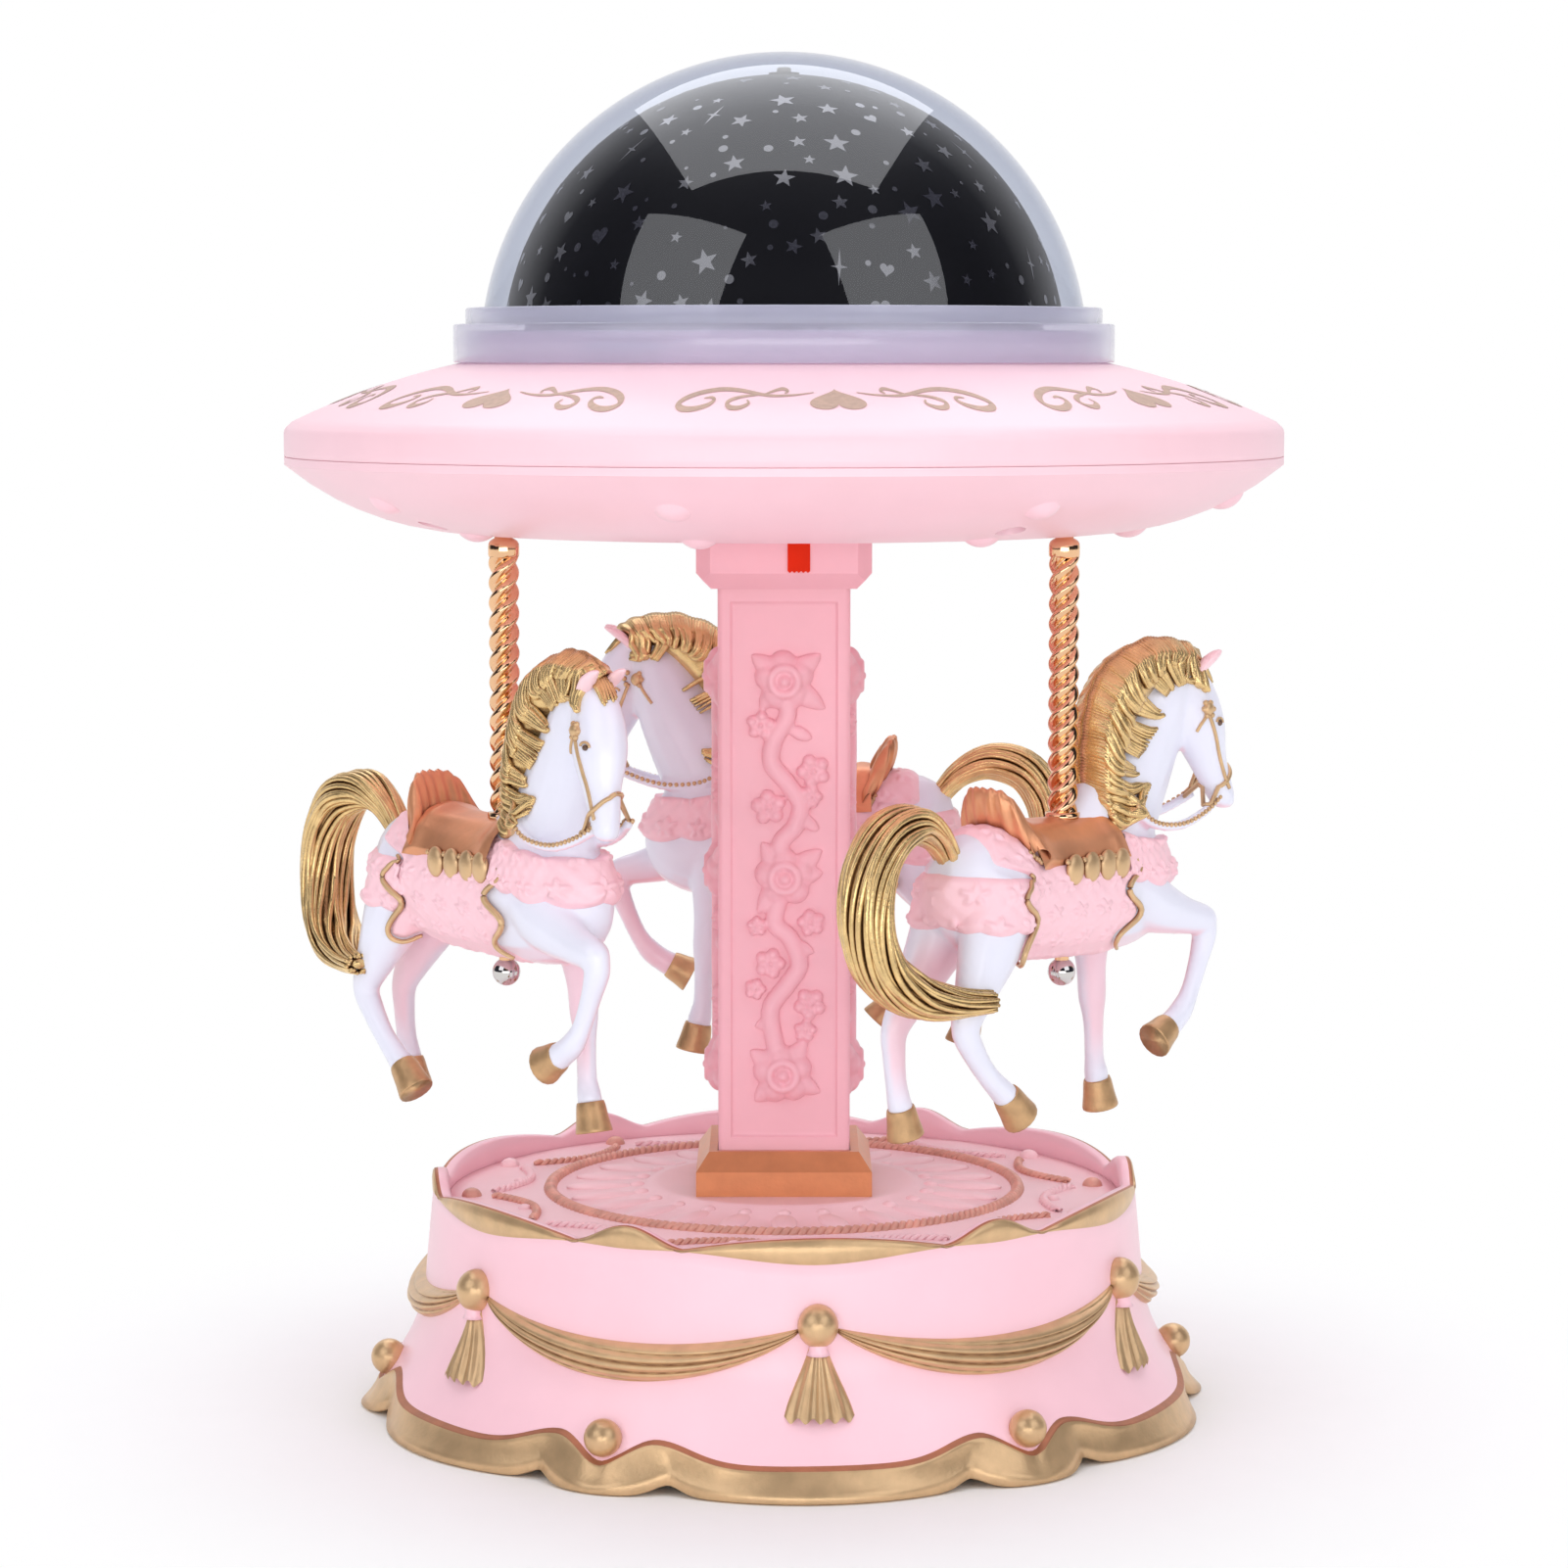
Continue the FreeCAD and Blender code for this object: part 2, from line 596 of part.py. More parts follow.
def rose_panel():
    """Rose relief of the column's front face: three roses on a winding stem, with small blossoms."""
    face = -COLUMN_WIDTH / 2.0 + PANEL_DEPTH
    out = V(0, -1, 0)
    low = PAD_Z + PLINTH_HEIGHT + PANEL_END_MARGIN + ROSE_RADIUS + STEM_RADIUS
    high = CAPITAL_Z - PANEL_END_MARGIN - ROSE_RADIUS - STEM_RADIUS
    heights = [low, (low + high) / 2.0, high]
    pieces = [dome_cap(ROSE_RADIUS, ROSE_RISE + PANEL_DEPTH, V(0, face, z), out) for z in heights]
    for start, end in zip(heights, heights[1:]):
        span = end - start
        side = 1.0
        for k in range(2):
            foot = V(0, face, start + span * k / 2.0)
            knee = V(STEM_SWAY * side, face, start + span * (k + 0.5) / 2.0)
            tip = V(0, face, start + span * (k + 1) / 2.0)
            path = Part.Wire(Part.Arc(foot, knee, tip).toShape())
            tangent = path.Edges[0].tangentAt(path.Edges[0].FirstParameter)
            section = Part.Wire(Part.makeCircle(STEM_RADIUS, foot, tangent))
            pieces.append(path.makePipeShell([section], True, False))
            blossom = V(-STEM_SWAY * side, face, knee.z)
            pieces.append(dome_cap(BLOSSOM_RADIUS, BLOSSOM_RISE + PANEL_DEPTH, blossom, out))
            side = -side
    return pieces


def column():
    shaft = block(COLUMN_WIDTH, COLUMN_WIDTH, PAD_Z, COLUMN_TOP_Z)
    panel_low = PAD_Z + PLINTH_HEIGHT + PANEL_BORDER
    panel_high = CAPITAL_Z - PANEL_BORDER
    panel = block(COLUMN_WIDTH - 2.0 * PANEL_BORDER, 2.0 * PANEL_DEPTH, panel_low, panel_high,
                  V(0, -COLUMN_WIDTH / 2.0, 0))
    quarter_turns = [90.0 * k for k in range(4)]
    shaft = without(shaft, [turned(panel, angle) for angle in quarter_turns])
    relief = [turned(piece, angle) for angle in quarter_turns for piece in rose_panel()]
    bore = COLUMN_WIDTH - 2.0 * COLUMN_WALL
    tube = shaft.multiFuse(relief).cut(block(bore, bore, PAD_Z, COLUMN_TOP_Z))
    bosses = [rod(COLUMN_BOSS_RADIUS, PAD_Z, PAD_Z + COLUMN_BOSS_HEIGHT, at) for at in column_screw_points()]
    pilots = [rod(SCREW_RADIUS + FIT, PAD_Z, PAD_Z + COLUMN_BOSS_HEIGHT, at) for at in column_screw_points()]
    return without(tube.multiFuse(bosses), pilots)


def column_screws():
    seats = [at + UP * DECK_SEAT_Z for at in column_screw_points()]
    return Part.makeCompound([screw(COLUMN_SCREW_LENGTH, at) for at in seats])


def column_plinth():
    bore = COLUMN_WIDTH + 2.0 * SLIDE
    shoulder = PAD_Z + PLINTH_HEIGHT - PLINTH_BEVEL
    body = block(PLINTH_WIDTH, PLINTH_WIDTH, PAD_Z, shoulder)
    bevel = frustum(PLINTH_WIDTH, PLINTH_TOP_WIDTH, shoulder, PAD_Z + PLINTH_HEIGHT)
    return body.fuse(bevel).cut(block(bore, bore, PAD_Z, PAD_Z + PLINTH_HEIGHT))


def column_capital():
    shoulder = CAPITAL_Z + CAPITAL_CHAMFER
    body = block(CAPITAL_WIDTH, CAPITAL_WIDTH, shoulder, CAPITAL_TOP_Z)
    body = body.fuse(frustum(CAPITAL_NECK_WIDTH, CAPITAL_WIDTH, CAPITAL_Z, shoulder))
    diagonal = math.sqrt(2.0) * CAPITAL_WIDTH - math.sqrt(2.0) * CAPITAL_CORNER
    body = body.common(turned(block(diagonal, diagonal, CAPITAL_Z, CAPITAL_TOP_Z), 45.0))
    socket = COLUMN_WIDTH + 2.0 * SLIDE
    return without(body, [block(socket, socket, CAPITAL_Z, COLUMN_TOP_Z),
                          rod(BUSH_RADIUS + FIT, CAPITAL_Z, CAPITAL_TOP_Z),
                          rod(BUSH_FLANGE_RADIUS + SLIDE, BUSH_SEAT_Z, CAPITAL_TOP_Z)])


def tape_tab():
    left = TAB_OFFSET - TAB_WIDTH / 2.0
    front = -CAPITAL_WIDTH / 2.0
    low = CAPITAL_TOP_Z - TAB_LENGTH
    step = TAB_WIDTH / (2.0 * TAB_TEETH)
    points = [(left, CAPITAL_TOP_Z)]
    points += [(left + step * k, low + (TAB_TOOTH if k % 2 == 0 else 0.0)) for k in range(2 * TAB_TEETH + 1)]
    points.append((left + TAB_WIDTH, CAPITAL_TOP_Z))
    wire = outline(lambda x, z: V(x, front, z), *points)
    return Part.Face(wire).extrude(V(0, -TAB_THICK, 0))


def capital_bush():
    flange = rod(BUSH_FLANGE_RADIUS, BUSH_SEAT_Z, WASHER_Z)
    barrel = rod(BUSH_RADIUS, BUSH_SEAT_Z - BUSH_LENGTH, BUSH_SEAT_Z)
    return flange.fuse(barrel).cut(rod(SHAFT_RADIUS + RUN, BUSH_SEAT_Z - BUSH_LENGTH, WASHER_Z))


def thrust_washer():
    return ring(HUB_RADIUS, SHAFT_RADIUS + SLIDE, WASHER_Z, WASHER_Z + WASHER_THICK)


# Canopy and drive

def drive_shaft():
    return rod(SHAFT_RADIUS, SHAFT_Z, FLOOR_Z + SHAFT_TOP_RISE)


def hub_screw_points():
    return hub_points(HUB_SCREWS, (HUB_RADIUS + HUB_FLANGE_RADIUS) / 2.0, HUB_SCREW_ANGLE)


def drive_hub():
    top = FLOOR_Z + HUB_FLANGE_THICK
    hub = rod(HUB_RADIUS, HUB_Z, top).fuse(rod(HUB_FLANGE_RADIUS, FLOOR_Z, top))
    hub = hub.fuse(rod(HUB_TOP_RADIUS, top, FLOOR_Z + SHAFT_TOP_RISE))
    holes = [rod(SHAFT_RADIUS + FIT, HUB_Z, FLOOR_Z + SHAFT_TOP_RISE)]
    holes += [rod(SCREW_RADIUS + SLIDE, FLOOR_Z, top, at) for at in hub_screw_points()]
    return without(hub, holes)


def hub_screws():
    top = FLOOR_Z + HUB_FLANGE_THICK
    return Part.makeCompound([screw(HUB_SCREW_LENGTH, at + UP * top, False) for at in hub_screw_points()])


def canopy_screw_points():
    return hub_points(CANOPY_SCREWS, CANOPY_SCREW_CIRCLE, CANOPY_SCREW_ANGLE)


def bowl(inset):
    """Solid below the parting line, shrunk by a wall thickness."""
    flat = (CANOPY_FLAT_RADIUS, CANOPY_Z + inset)
    edge = (CANOPY_RADIUS - inset, PARTING_Z - CANOPY_BOWL_EDGE)
    return spin((0, CANOPY_Z + inset), flat, (bowed(flat, edge, -CANOPY_BOWL_BOW), edge),
                (CANOPY_RADIUS - inset, PARTING_Z), (0, PARTING_Z))


def bowl_height(radius):
    """Height of the canopy's underside at a radius."""
    flat = (CANOPY_FLAT_RADIUS, CANOPY_Z)
    edge = (CANOPY_RADIUS, PARTING_Z - CANOPY_BOWL_EDGE)
    if radius <= CANOPY_FLAT_RADIUS:
        return CANOPY_Z
    share = (radius - flat[0]) / (edge[0] - flat[0])
    sag = 4.0 * CANOPY_BOWL_BOW * share * (1.0 - share)
    return flat[1] + (edge[1] - flat[1]) * share - sag


def canopy_lower():
    pips = []
    for circle in PIP_CIRCLES:
        pip = Part.makeSphere(PIP_RADIUS, V(circle, 0, bowl_height(circle) + PIP_RADIUS - PIP_RISE))
        pips += [turned(pip, PIP_ANGLE + 360.0 * k / PIPS) for k in range(PIPS)]
    shell = bowl(0.0).multiFuse(pips).cut(bowl(CANOPY_WALL))
    head_seat = CANOPY_Z + CANOPY_SCREW_DEPTH
    points = canopy_screw_points()
    bosses = [rod(2.0 * SCREW_HEAD_RADIUS, CANOPY_Z, PARTING_Z, at) for at in points]
    shell = shell.multiFuse([boss.common(bowl(CANOPY_WALL / 2.0)) for boss in bosses])
    holes = [rod(SCREW_HEAD_RADIUS + SLIDE, CANOPY_Z - PIP_RISE, head_seat, at) for at in points]
    holes += [rod(SCREW_RADIUS + SLIDE, head_seat, PARTING_Z, at) for at in points]
    holes += [rod(POLE_STEM_RADIUS + RUN, CANOPY_Z, FLOOR_Z, at) for at in pole_points()]
    holes += [rod(SCREW_RADIUS + FIT, CANOPY_Z, FLOOR_Z, at) for at in hub_screw_points()]
    holes.append(rod(HUB_RADIUS + SLIDE, CANOPY_Z, FLOOR_Z))
    slot_length = KNOB_LENGTH + SWITCH_TRAVEL + 2.0 * FREE
    slot = block(KNOB_WIDTH + 2.0 * FREE, slot_length, CANOPY_Z, FLOOR_Z, V(SWITCH_CIRCLE, 0, 0))
    holes.append(turned(slot, SWITCH_ANGLE))
    return without(shell, holes)


def crown_height(radius):
    """Height of the canopy's top at a radius."""
    share = (CANOPY_RADIUS - radius) / (CANOPY_RADIUS - BOSS_RADIUS)
    return EAVE_Z + CANOPY_CROWN_RISE * share + 4.0 * CANOPY_CROWN_BOW * share * (1.0 - share)


def canopy_upper():
    bore = BOSS_RADIUS - BOSS_WALL
    eave = (CANOPY_RADIUS, EAVE_Z)
    crown = (BOSS_RADIUS, CROWN_Z)
    inner_eave = (CANOPY_RADIUS - CANOPY_WALL, EAVE_Z - CANOPY_WALL)
    inner_crown = (bore, CROWN_Z - CANOPY_WALL)
    shell = spin((CANOPY_RADIUS - CANOPY_WALL, PARTING_Z), (CANOPY_RADIUS, PARTING_Z), eave,
                 (bowed(eave, crown, -CANOPY_CROWN_BOW), crown), (BOSS_RADIUS, BOSS_TOP_Z),
                 (bore, BOSS_TOP_Z), inner_crown,
                 (bowed(inner_crown, inner_eave, CANOPY_CROWN_BOW), inner_eave))
    ledge = ring(bore + BOSS_WALL / 2.0, bore - LAMP_LEDGE_WIDTH, lamp_seat() - LAMP_LEDGE_THICK, lamp_seat())
    lugs = [lug(BOSS_RADIUS - BOSS_WALL / 2.0, BOSS_RADIUS + LUG_WIDTH, BOSS_TOP_Z - LUG_THICK, BOSS_TOP_Z, k)
            for k in range(LUGS)]
    posts = []
    pilots = []
    post_radius = 2.0 * SCREW_HEAD_RADIUS
    post_top = crown_height(CANOPY_SCREW_CIRCLE + post_radius) - CANOPY_WALL / 2.0
    pilot_top = CANOPY_Z + CANOPY_SCREW_DEPTH + CANOPY_SCREW_LENGTH + FREE
    for at in canopy_screw_points():
        posts.append(rod(post_radius, PARTING_Z, post_top, at))
        pilots.append(rod(SCREW_RADIUS + FIT, PARTING_Z, pilot_top, at))
    return without(shell.multiFuse([ledge] + lugs + posts), pilots)


def canopy_screws():
    seat = CANOPY_Z + CANOPY_SCREW_DEPTH
    return Part.makeCompound([screw(CANOPY_SCREW_LENGTH, at + UP * seat) for at in canopy_screw_points()])


# Dome

def lug(inner, outer, low, high, k):
    """Bayonet lug, a short arc of a ring."""
    arc = Part.makeCylinder(outer, high - low, V(0, 0, low), UP, LUG_ANGLE)
    arc = arc.cut(rod(inner, low, high))
    return turned(arc, 360.0 * k / LUGS - LUG_ANGLE / 2.0)


def dome_collar():
    bore = COLLAR_RADIUS - COLLAR_WALL
    skirt = crown_height(bore) + FREE
    inner = STAR_RADIUS - STAR_WALL - 2.0 * COLLAR_SHELF
    groove = DOME_RADIUS + FIT
    step_top = DOME_SEAT_Z + COLLAR_STEP_HEIGHT
    collar = spin((bore, skirt), (COLLAR_RADIUS, skirt), (COLLAR_RADIUS, DOME_SEAT_Z),
                  (COLLAR_STEP_RADIUS, DOME_SEAT_Z), (COLLAR_STEP_RADIUS, step_top), (groove, step_top),
                  (groove, DOME_SEAT_Z), (inner, DOME_SEAT_Z), (inner, SHELF_Z), (bore, SHELF_Z))
    top = BOSS_TOP_Z - LUG_THICK - FREE
    lugs = [lug(BOSS_RADIUS + FREE, bore + COLLAR_WALL / 2.0, top - LUG_THICK, top, k) for k in range(LUGS)]
    return collar.multiFuse(lugs)


def cap(radius, wall):
    """Part of a thin sphere that stands on the collar's shelf."""
    centre = V(0, 0, DOME_CENTRE_Z)
    shell = Part.makeSphere(radius, centre).cut(Part.makeSphere(radius - wall, centre))
    return shell.common(rod(2.0 * radius, DOME_SEAT_Z, DOME_CENTRE_Z + 2.0 * radius))


def star_dome():
    top = DOME_CENTRE_Z + STAR_RADIUS
    return cap(STAR_RADIUS, STAR_WALL).fuse(rod(NUB_RADIUS, top - STAR_WALL / 2.0, top + NUB_RISE))


# Star lamp

def lamp_seat():
    """Height of the ledge that carries the lamp plate."""
    return CROWN_Z - CANOPY_WALL + LAMP_LEDGE_THICK


def lamp_plate():
    return rod(BOSS_RADIUS - BOSS_WALL - SLIDE, lamp_seat(), lamp_seat() + LAMP_PLATE_THICK)


def lamp_board():
    low = lamp_seat() + LAMP_PLATE_THICK
    return block(LAMP_BOARD_WIDTH, LAMP_BOARD_WIDTH, low, low + LAMP_BOARD_THICK)


def lamp_led():
    low = lamp_seat() + LAMP_PLATE_THICK + LAMP_BOARD_THICK
    tip = V(0, 0, low + LED_HEIGHT)
    return rod(LED_RADIUS, low, tip.z).fuse(Part.makeSphere(LED_RADIUS, tip, UP, 0, 90, 360))


def cell_places():
    """Turn that brings a cell laid along Y to each side of the hub."""
    return [POLE_ANGLE + 360.0 * k / CELLS for k in range(CELLS)]


def lying_cell(radius, length):
    start = V(CELL_CIRCLE, -length / 2.0, FLOOR_Z + TRAY_FLOOR + CELL_RADIUS)
    return Part.makeCylinder(radius, length, start, V(0, 1, 0))


def battery_tray():
    width = 2.0 * (CELL_RADIUS + SLIDE + TRAY_WALL)
    length = CELL_LENGTH + 2.0 * (SLIDE + TRAY_WALL)
    trough = block(width, length, FLOOR_Z, FLOOR_Z + TRAY_DEPTH, V(CELL_CIRCLE, 0, 0))
    pocket = lying_cell(CELL_RADIUS + SLIDE, CELL_LENGTH + 2.0 * SLIDE)
    mouth = block(2.0 * (CELL_RADIUS + SLIDE), CELL_LENGTH + 2.0 * SLIDE, FLOOR_Z + TRAY_FLOOR + CELL_RADIUS,
                  FLOOR_Z + 2.0 * TRAY_DEPTH, V(CELL_CIRCLE, 0, 0))
    trough = without(trough, [pocket, mouth])
    floor = ring(CELL_CIRCLE, HUB_FLANGE_RADIUS + FREE, FLOOR_Z, FLOOR_Z + TRAY_FLOOR / 2.0)
    return joined([floor] + [turned(trough, angle) for angle in cell_places()])


def battery_cells():
    cell = lying_cell(CELL_RADIUS, CELL_LENGTH)
    return Part.makeCompound([turned(cell, angle) for angle in cell_places()])


# Light switch

def light_switch_body():
    at = V(SWITCH_CIRCLE, 0, 0)
    body = block(SWITCH_WIDTH, SWITCH_LENGTH, FLOOR_Z, FLOOR_Z + SWITCH_HEIGHT, at)
    width = KNOB_WIDTH + 2.0 * (KNOB_FLANGE / 2.0 + FREE)
    length = KNOB_LENGTH + 2.0 * KNOB_FLANGE + SWITCH_TRAVEL + 2.0 * FREE
    room = block(width, length, FLOOR_Z, FLOOR_Z + KNOB_FLANGE_THICK + 3.0 * FREE, at)
    return turned(body.cut(room), SWITCH_ANGLE)


def light_switch_knob():
    at = V(SWITCH_CIRCLE, -SWITCH_TRAVEL / 2.0, 0)
    low = FLOOR_Z + FREE
    stem = block(KNOB_WIDTH, KNOB_LENGTH, CANOPY_Z - KNOB_DROP, low, at)
    flange = block(KNOB_WIDTH + KNOB_FLANGE, KNOB_LENGTH + 2.0 * KNOB_FLANGE,
                   low, low + KNOB_FLANGE_THICK, at)
    return turned(stem.fuse(flange), SWITCH_ANGLE)


# Poles and horses

def pole_points():
    return hub_points(HORSES, POLE_CIRCLE, POLE_ANGLE)


def twisted_rod(low, high):
    """Rod of round strands laid side by side and twisted."""
    centres = [polar(STRAND_OFFSET, 360.0 * k / STRANDS, low) for k in range(STRANDS)]
    discs = [Part.Face(Part.Wire(Part.makeCircle(STRAND_RADIUS, at))) for at in centres]
    core = Part.Face(Part.Wire(Part.makeCircle(STRAND_RADIUS, V(0, 0, low))))
    section = core.multiFuse(discs).removeSplitter().Faces[0].OuterWire
    path = Part.Wire(Part.makeLine(V(0, 0, low), V(0, 0, high)))
    guide = Part.makeHelix(STRAND_LEAD, high - low, 2.0 * STRAND_OFFSET)
    guide.translate(V(0, 0, low))
    maker = Part.BRepOffsetAPI.MakePipeShell(path)
    maker.setAuxiliarySpine(Part.Wire(guide.Edges), True, 0)
    maker.add(section)
    maker.build()
    maker.makeSolid()
    return maker.shape()


def pole():
    """Twisted pole on the main axis, with its flange, cap, top stem and the pin through the horse."""
    flange_top = SADDLE_Z + POLE_FLANGE_THICK
    cap_low = CANOPY_Z - POLE_CAP_HEIGHT
    shoulder = CANOPY_Z - POLE_CAP_TAPER
    taper = Part.makeCone(POLE_CAP_RADIUS, POLE_STEM_RADIUS + RUN, POLE_CAP_TAPER, V(0, 0, shoulder))
    return twisted_rod(flange_top, cap_low).multiFuse([
        rod(POLE_FLANGE_RADIUS, SADDLE_Z, flange_top),
        rod(POLE_CAP_RADIUS, cap_low, shoulder),
        taper,
        rod(POLE_STEM_RADIUS, CANOPY_Z, FLOOR_Z + POLE_NUT_THICK + FREE),
        rod(POLE_PIN_RADIUS, BELLY_Z - BALL_GAP - BALL_RADIUS, SADDLE_Z)])


def pole_balls():
    centre = BELLY_Z - BALL_GAP - BALL_RADIUS
    balls = []
    for at in pole_points():
        ball = Part.makeSphere(BALL_RADIUS, at + UP * centre)
        balls.append(ball.cut(rod(POLE_PIN_RADIUS + FIT, centre, BELLY_Z, at)))
    return Part.makeCompound(balls)


def pole_nuts():
    corner = POLE_NUT_FLATS / math.sqrt(3.0)
    nuts = []
    for at in pole_points():
        corners = [at + polar(corner, 60.0 * k, FLOOR_Z) for k in range(7)]
        nut = Part.Face(Part.makePolygon(corners)).extrude(UP * POLE_NUT_THICK)
        nuts.append(nut.cut(rod(POLE_STEM_RADIUS + FIT, FLOOR_Z, FLOOR_Z + POLE_NUT_THICK, at)))
    return Part.makeCompound(nuts)


def hoop(centre, along, across, tall):
    """Oval wire square to a direction, with half-sizes across the horse and in its mid plane."""
    ahead = V(along).normalize()
    side = V(0, 1, 0) - ahead * ahead.y
    side.normalize()
    rise = ahead.cross(side)
    frame = FreeCAD.Matrix(side.x * across, rise.x * tall, ahead.x, centre.x,
                           side.y * across, rise.y * tall, ahead.y, centre.y,
                           side.z * across, rise.z * tall, ahead.z, centre.z, 0, 0, 0, 1)
    return Part.Wire(Part.makeCircle(1.0).transformGeometry(frame).Edges)


def limb(stations, along=None):
    """Loft through stations (ahead, outward, height, half across, half tall) of a horse."""
    points = [V(ahead, -outward, z) for ahead, outward, z, across, tall in stations]
    wires = []
    for k, station in enumerate(stations):
        heading = along or points[min(k + 1, len(points) - 1)] - points[max(k - 1, 0)]
        wires.append(hoop(points[k], heading, station[3], station[4]))
    return Part.makeLoft(wires, True, False)


# Stations of the horse's forms, from the pole axis: ahead, outward, height, half across, half tall
HORSE_BARREL = ((-31, 0, 97, 3.2, 4.2), (-18, 0, 93.5, 8.4, 10.6), (-4, 0, 92, 8.6, 11.0),
                (10, 0, 92.5, 8.6, 11.6), (23.5, 0, 95, 4.0, 6.0))
HORSE_SADDLE = ((-18, 0, 102.3, 6.0, 2.0), (-7, 0, 101.7, 8.2, 2.5), (5, 0, 101.5, 6.0, 2.2))
HORSE_CANTLE = ((-16, 0, 101, 7.0, 3.0), (-18.5, 0, 106.5, 6.5, 1.9), (-20, 0, 110.5, 3.2, 1.2))
HORSE_NECK = ((8, 0, 95, 6.5, 11.0), (14, 0.5, 107, 5.2, 9.5), (19, 1.5, 117, 4.2, 8.0),
              (23, 2.5, 126, 3.4, 5.5))
HORSE_HEAD = ((20.5, 2.5, 128.5, 2.6, 3.4), (26.5, 3.8, 121.5, 4.2, 6.0), (31, 5.2, 113.5, 3.2, 4.6),
              (33.8, 6.6, 106.5, 2.7, 3.3), (34.2, 7.0, 104.2, 1.6, 1.8))
HORSE_MANE = ((5, 0, 105, 3.0, 2.4), (6.5, 0, 113, 4.0, 4.0), (11, 1.0, 122, 4.2, 4.6),
              (17, 2.0, 128.5, 3.6, 4.0), (23.5, 2.8, 130, 2.6, 2.4))
HORSE_TAIL = ((-25, 0, 99, 2.2, 2.4), (-38, 0.5, 108, 2.6, 3.2), (-48.5, 1, 104, 3.2, 4.4),
              (-51.8, 1, 93, 3.2, 4.4), (-47.5, 2.5, 83, 3.2, 4.2), (-37, 6, 78.5, 1.8, 1.8))
HORSE_LEGS = (
    ((12, 4.0, 90, 4.4, 5.6), (22, 5.2, 87, 3.4, 3.8), (31, 6, 84.2, 2.4, 2.6)),
    ((31.2, 6, 86, 2.0, 2.4), (29.0, 6, 78, 2.0, 2.2), (26, 6, 71, 1.7, 1.9), (22.0, 6, 67.6, 2.3, 2.4),
     (18.4, 6, 66, 2.7, 3.0)),
    ((12, -4.0, 90, 4.4, 5.2), (13.6, -4.8, 79, 2.8, 3.2), (14.6, -5, 70, 1.9, 2.2), (15.2, -5, 60, 1.8, 2.0),
     (16, -5, 56.8, 2.5, 2.9), (16.8, -5, 53, 3.0, 3.6)),
    ((-21, 4.2, 94, 4.6, 7.5), (-26, 5.2, 83, 3.8, 5.2), (-31.5, 5.8, 73, 2.3, 2.8),
     (-26.5, 5.8, 65.5, 1.9, 2.1), (-20.5, 5.8, 60.4, 2.1, 2.2), (-16.8, 5.8, 56.4, 2.9, 3.2)),
    ((-22, -4.2, 94, 4.6, 7.5), (-28, -5.2, 83, 3.6, 4.8), (-36, -5.6, 73, 2.2, 2.7),
     (-35.5, -5.6, 65.5, 1.9, 2.1), (-34.2, -5.6, 59.6, 2.1, 2.2), (-33, -5.6, 54.6, 2.9, 3.3)))
HORSE_EARS = ((20.5, 0.6, 129.5), (20.5, 5.0, 129.5))
EAR_HEIGHT = 4.2
EAR_RADIUS = 1.3


def horse():
    """Moulded horse at the main axis, heading along +X, pierced by its pole's pin."""
    level = V(1, 0, 0)
    forms = [limb(HORSE_BARREL, level), limb(HORSE_SADDLE, level), limb(HORSE_CANTLE), limb(HORSE_NECK),
             limb(HORSE_HEAD), limb(HORSE_MANE), limb(HORSE_TAIL)]
    forms += [limb(leg) for leg in HORSE_LEGS]
    for ahead, outward, z in HORSE_EARS:
        forms.append(Part.makeCone(EAR_RADIUS, EAR_RADIUS / 4.0, EAR_HEIGHT, V(ahead, -outward, z)))
    figure = joined(forms)
    seat = rod(POLE_FLANGE_RADIUS + SLIDE, SADDLE_Z, SADDLE_Z + 2.0 * POLE_FLANGE_RADIUS)
    return without(figure, [rod(POLE_PIN_RADIUS + SLIDE, BELLY_Z - BALL_RADIUS, SADDLE_Z), seat])


# Movement

def involute(angle):
    return math.tan(angle) - angle


def gear(teeth, low, high, tooth_angle, at=V(0, 0, 0)):
    """Spur gear with straight-sided approximations of involute teeth, one tooth at a given angle."""
    pitch = MODULE * teeth / 2.0
    base = pitch * math.cos(PRESSURE)
    tip = pitch + TOOTH_RISE
    root = pitch - TOOTH_DROP
    half_pitch = (math.pi * MODULE / 2.0 - BACKLASH) / 2.0 / pitch

    def half_width(radius):
        slope = math.acos(min(1.0, base / max(radius, base)))
        return half_pitch + involute(PRESSURE) - involute(slope)

    radii = [root] + [r for r in (base, pitch, tip) if r > root]
    flank = [(r, half_width(r)) for r in radii]
    points = []
    for k in range(teeth):
        middle = math.radians(tooth_angle) + 2.0 * math.pi * k / teeth
        for sign, side in ((-1.0, flank), (1.0, flank[::-1])):
            for radius, half in side:
                angle = middle + sign * half
                points.append(V(at.x + radius * math.cos(angle), at.y + radius * math.sin(angle), low))
    return Part.Face(Part.makePolygon(points + points[:1])).extrude(V(0, 0, high - low))


def arbor(at):
    """Thin shaft between the two plates, with a pivot in each."""
    low = PLATE_TOP_Z + END_SHAKE
    high = UPPER_PLATE_Z - END_SHAKE
    pivot = rod(PIVOT_RADIUS, PLATE_Z, UPPER_PLATE_Z + PLATE_THICK, at)
    return rod(ARBOR_RADIUS, low, high, at).fuse(pivot)


def movement_plate_lower():
    holes = [rod(WIND_RADIUS + RUN, PLATE_Z, PLATE_TOP_Z)]
    for at in (CYLINDER_AT, TRAIN_AT, GOVERNOR_AT):
        holes.append(rod(PIVOT_RADIUS + RUN, PLATE_Z, PLATE_TOP_Z, at))
    return without(rod(PLATE_RADIUS, PLATE_Z, PLATE_TOP_Z), holes)


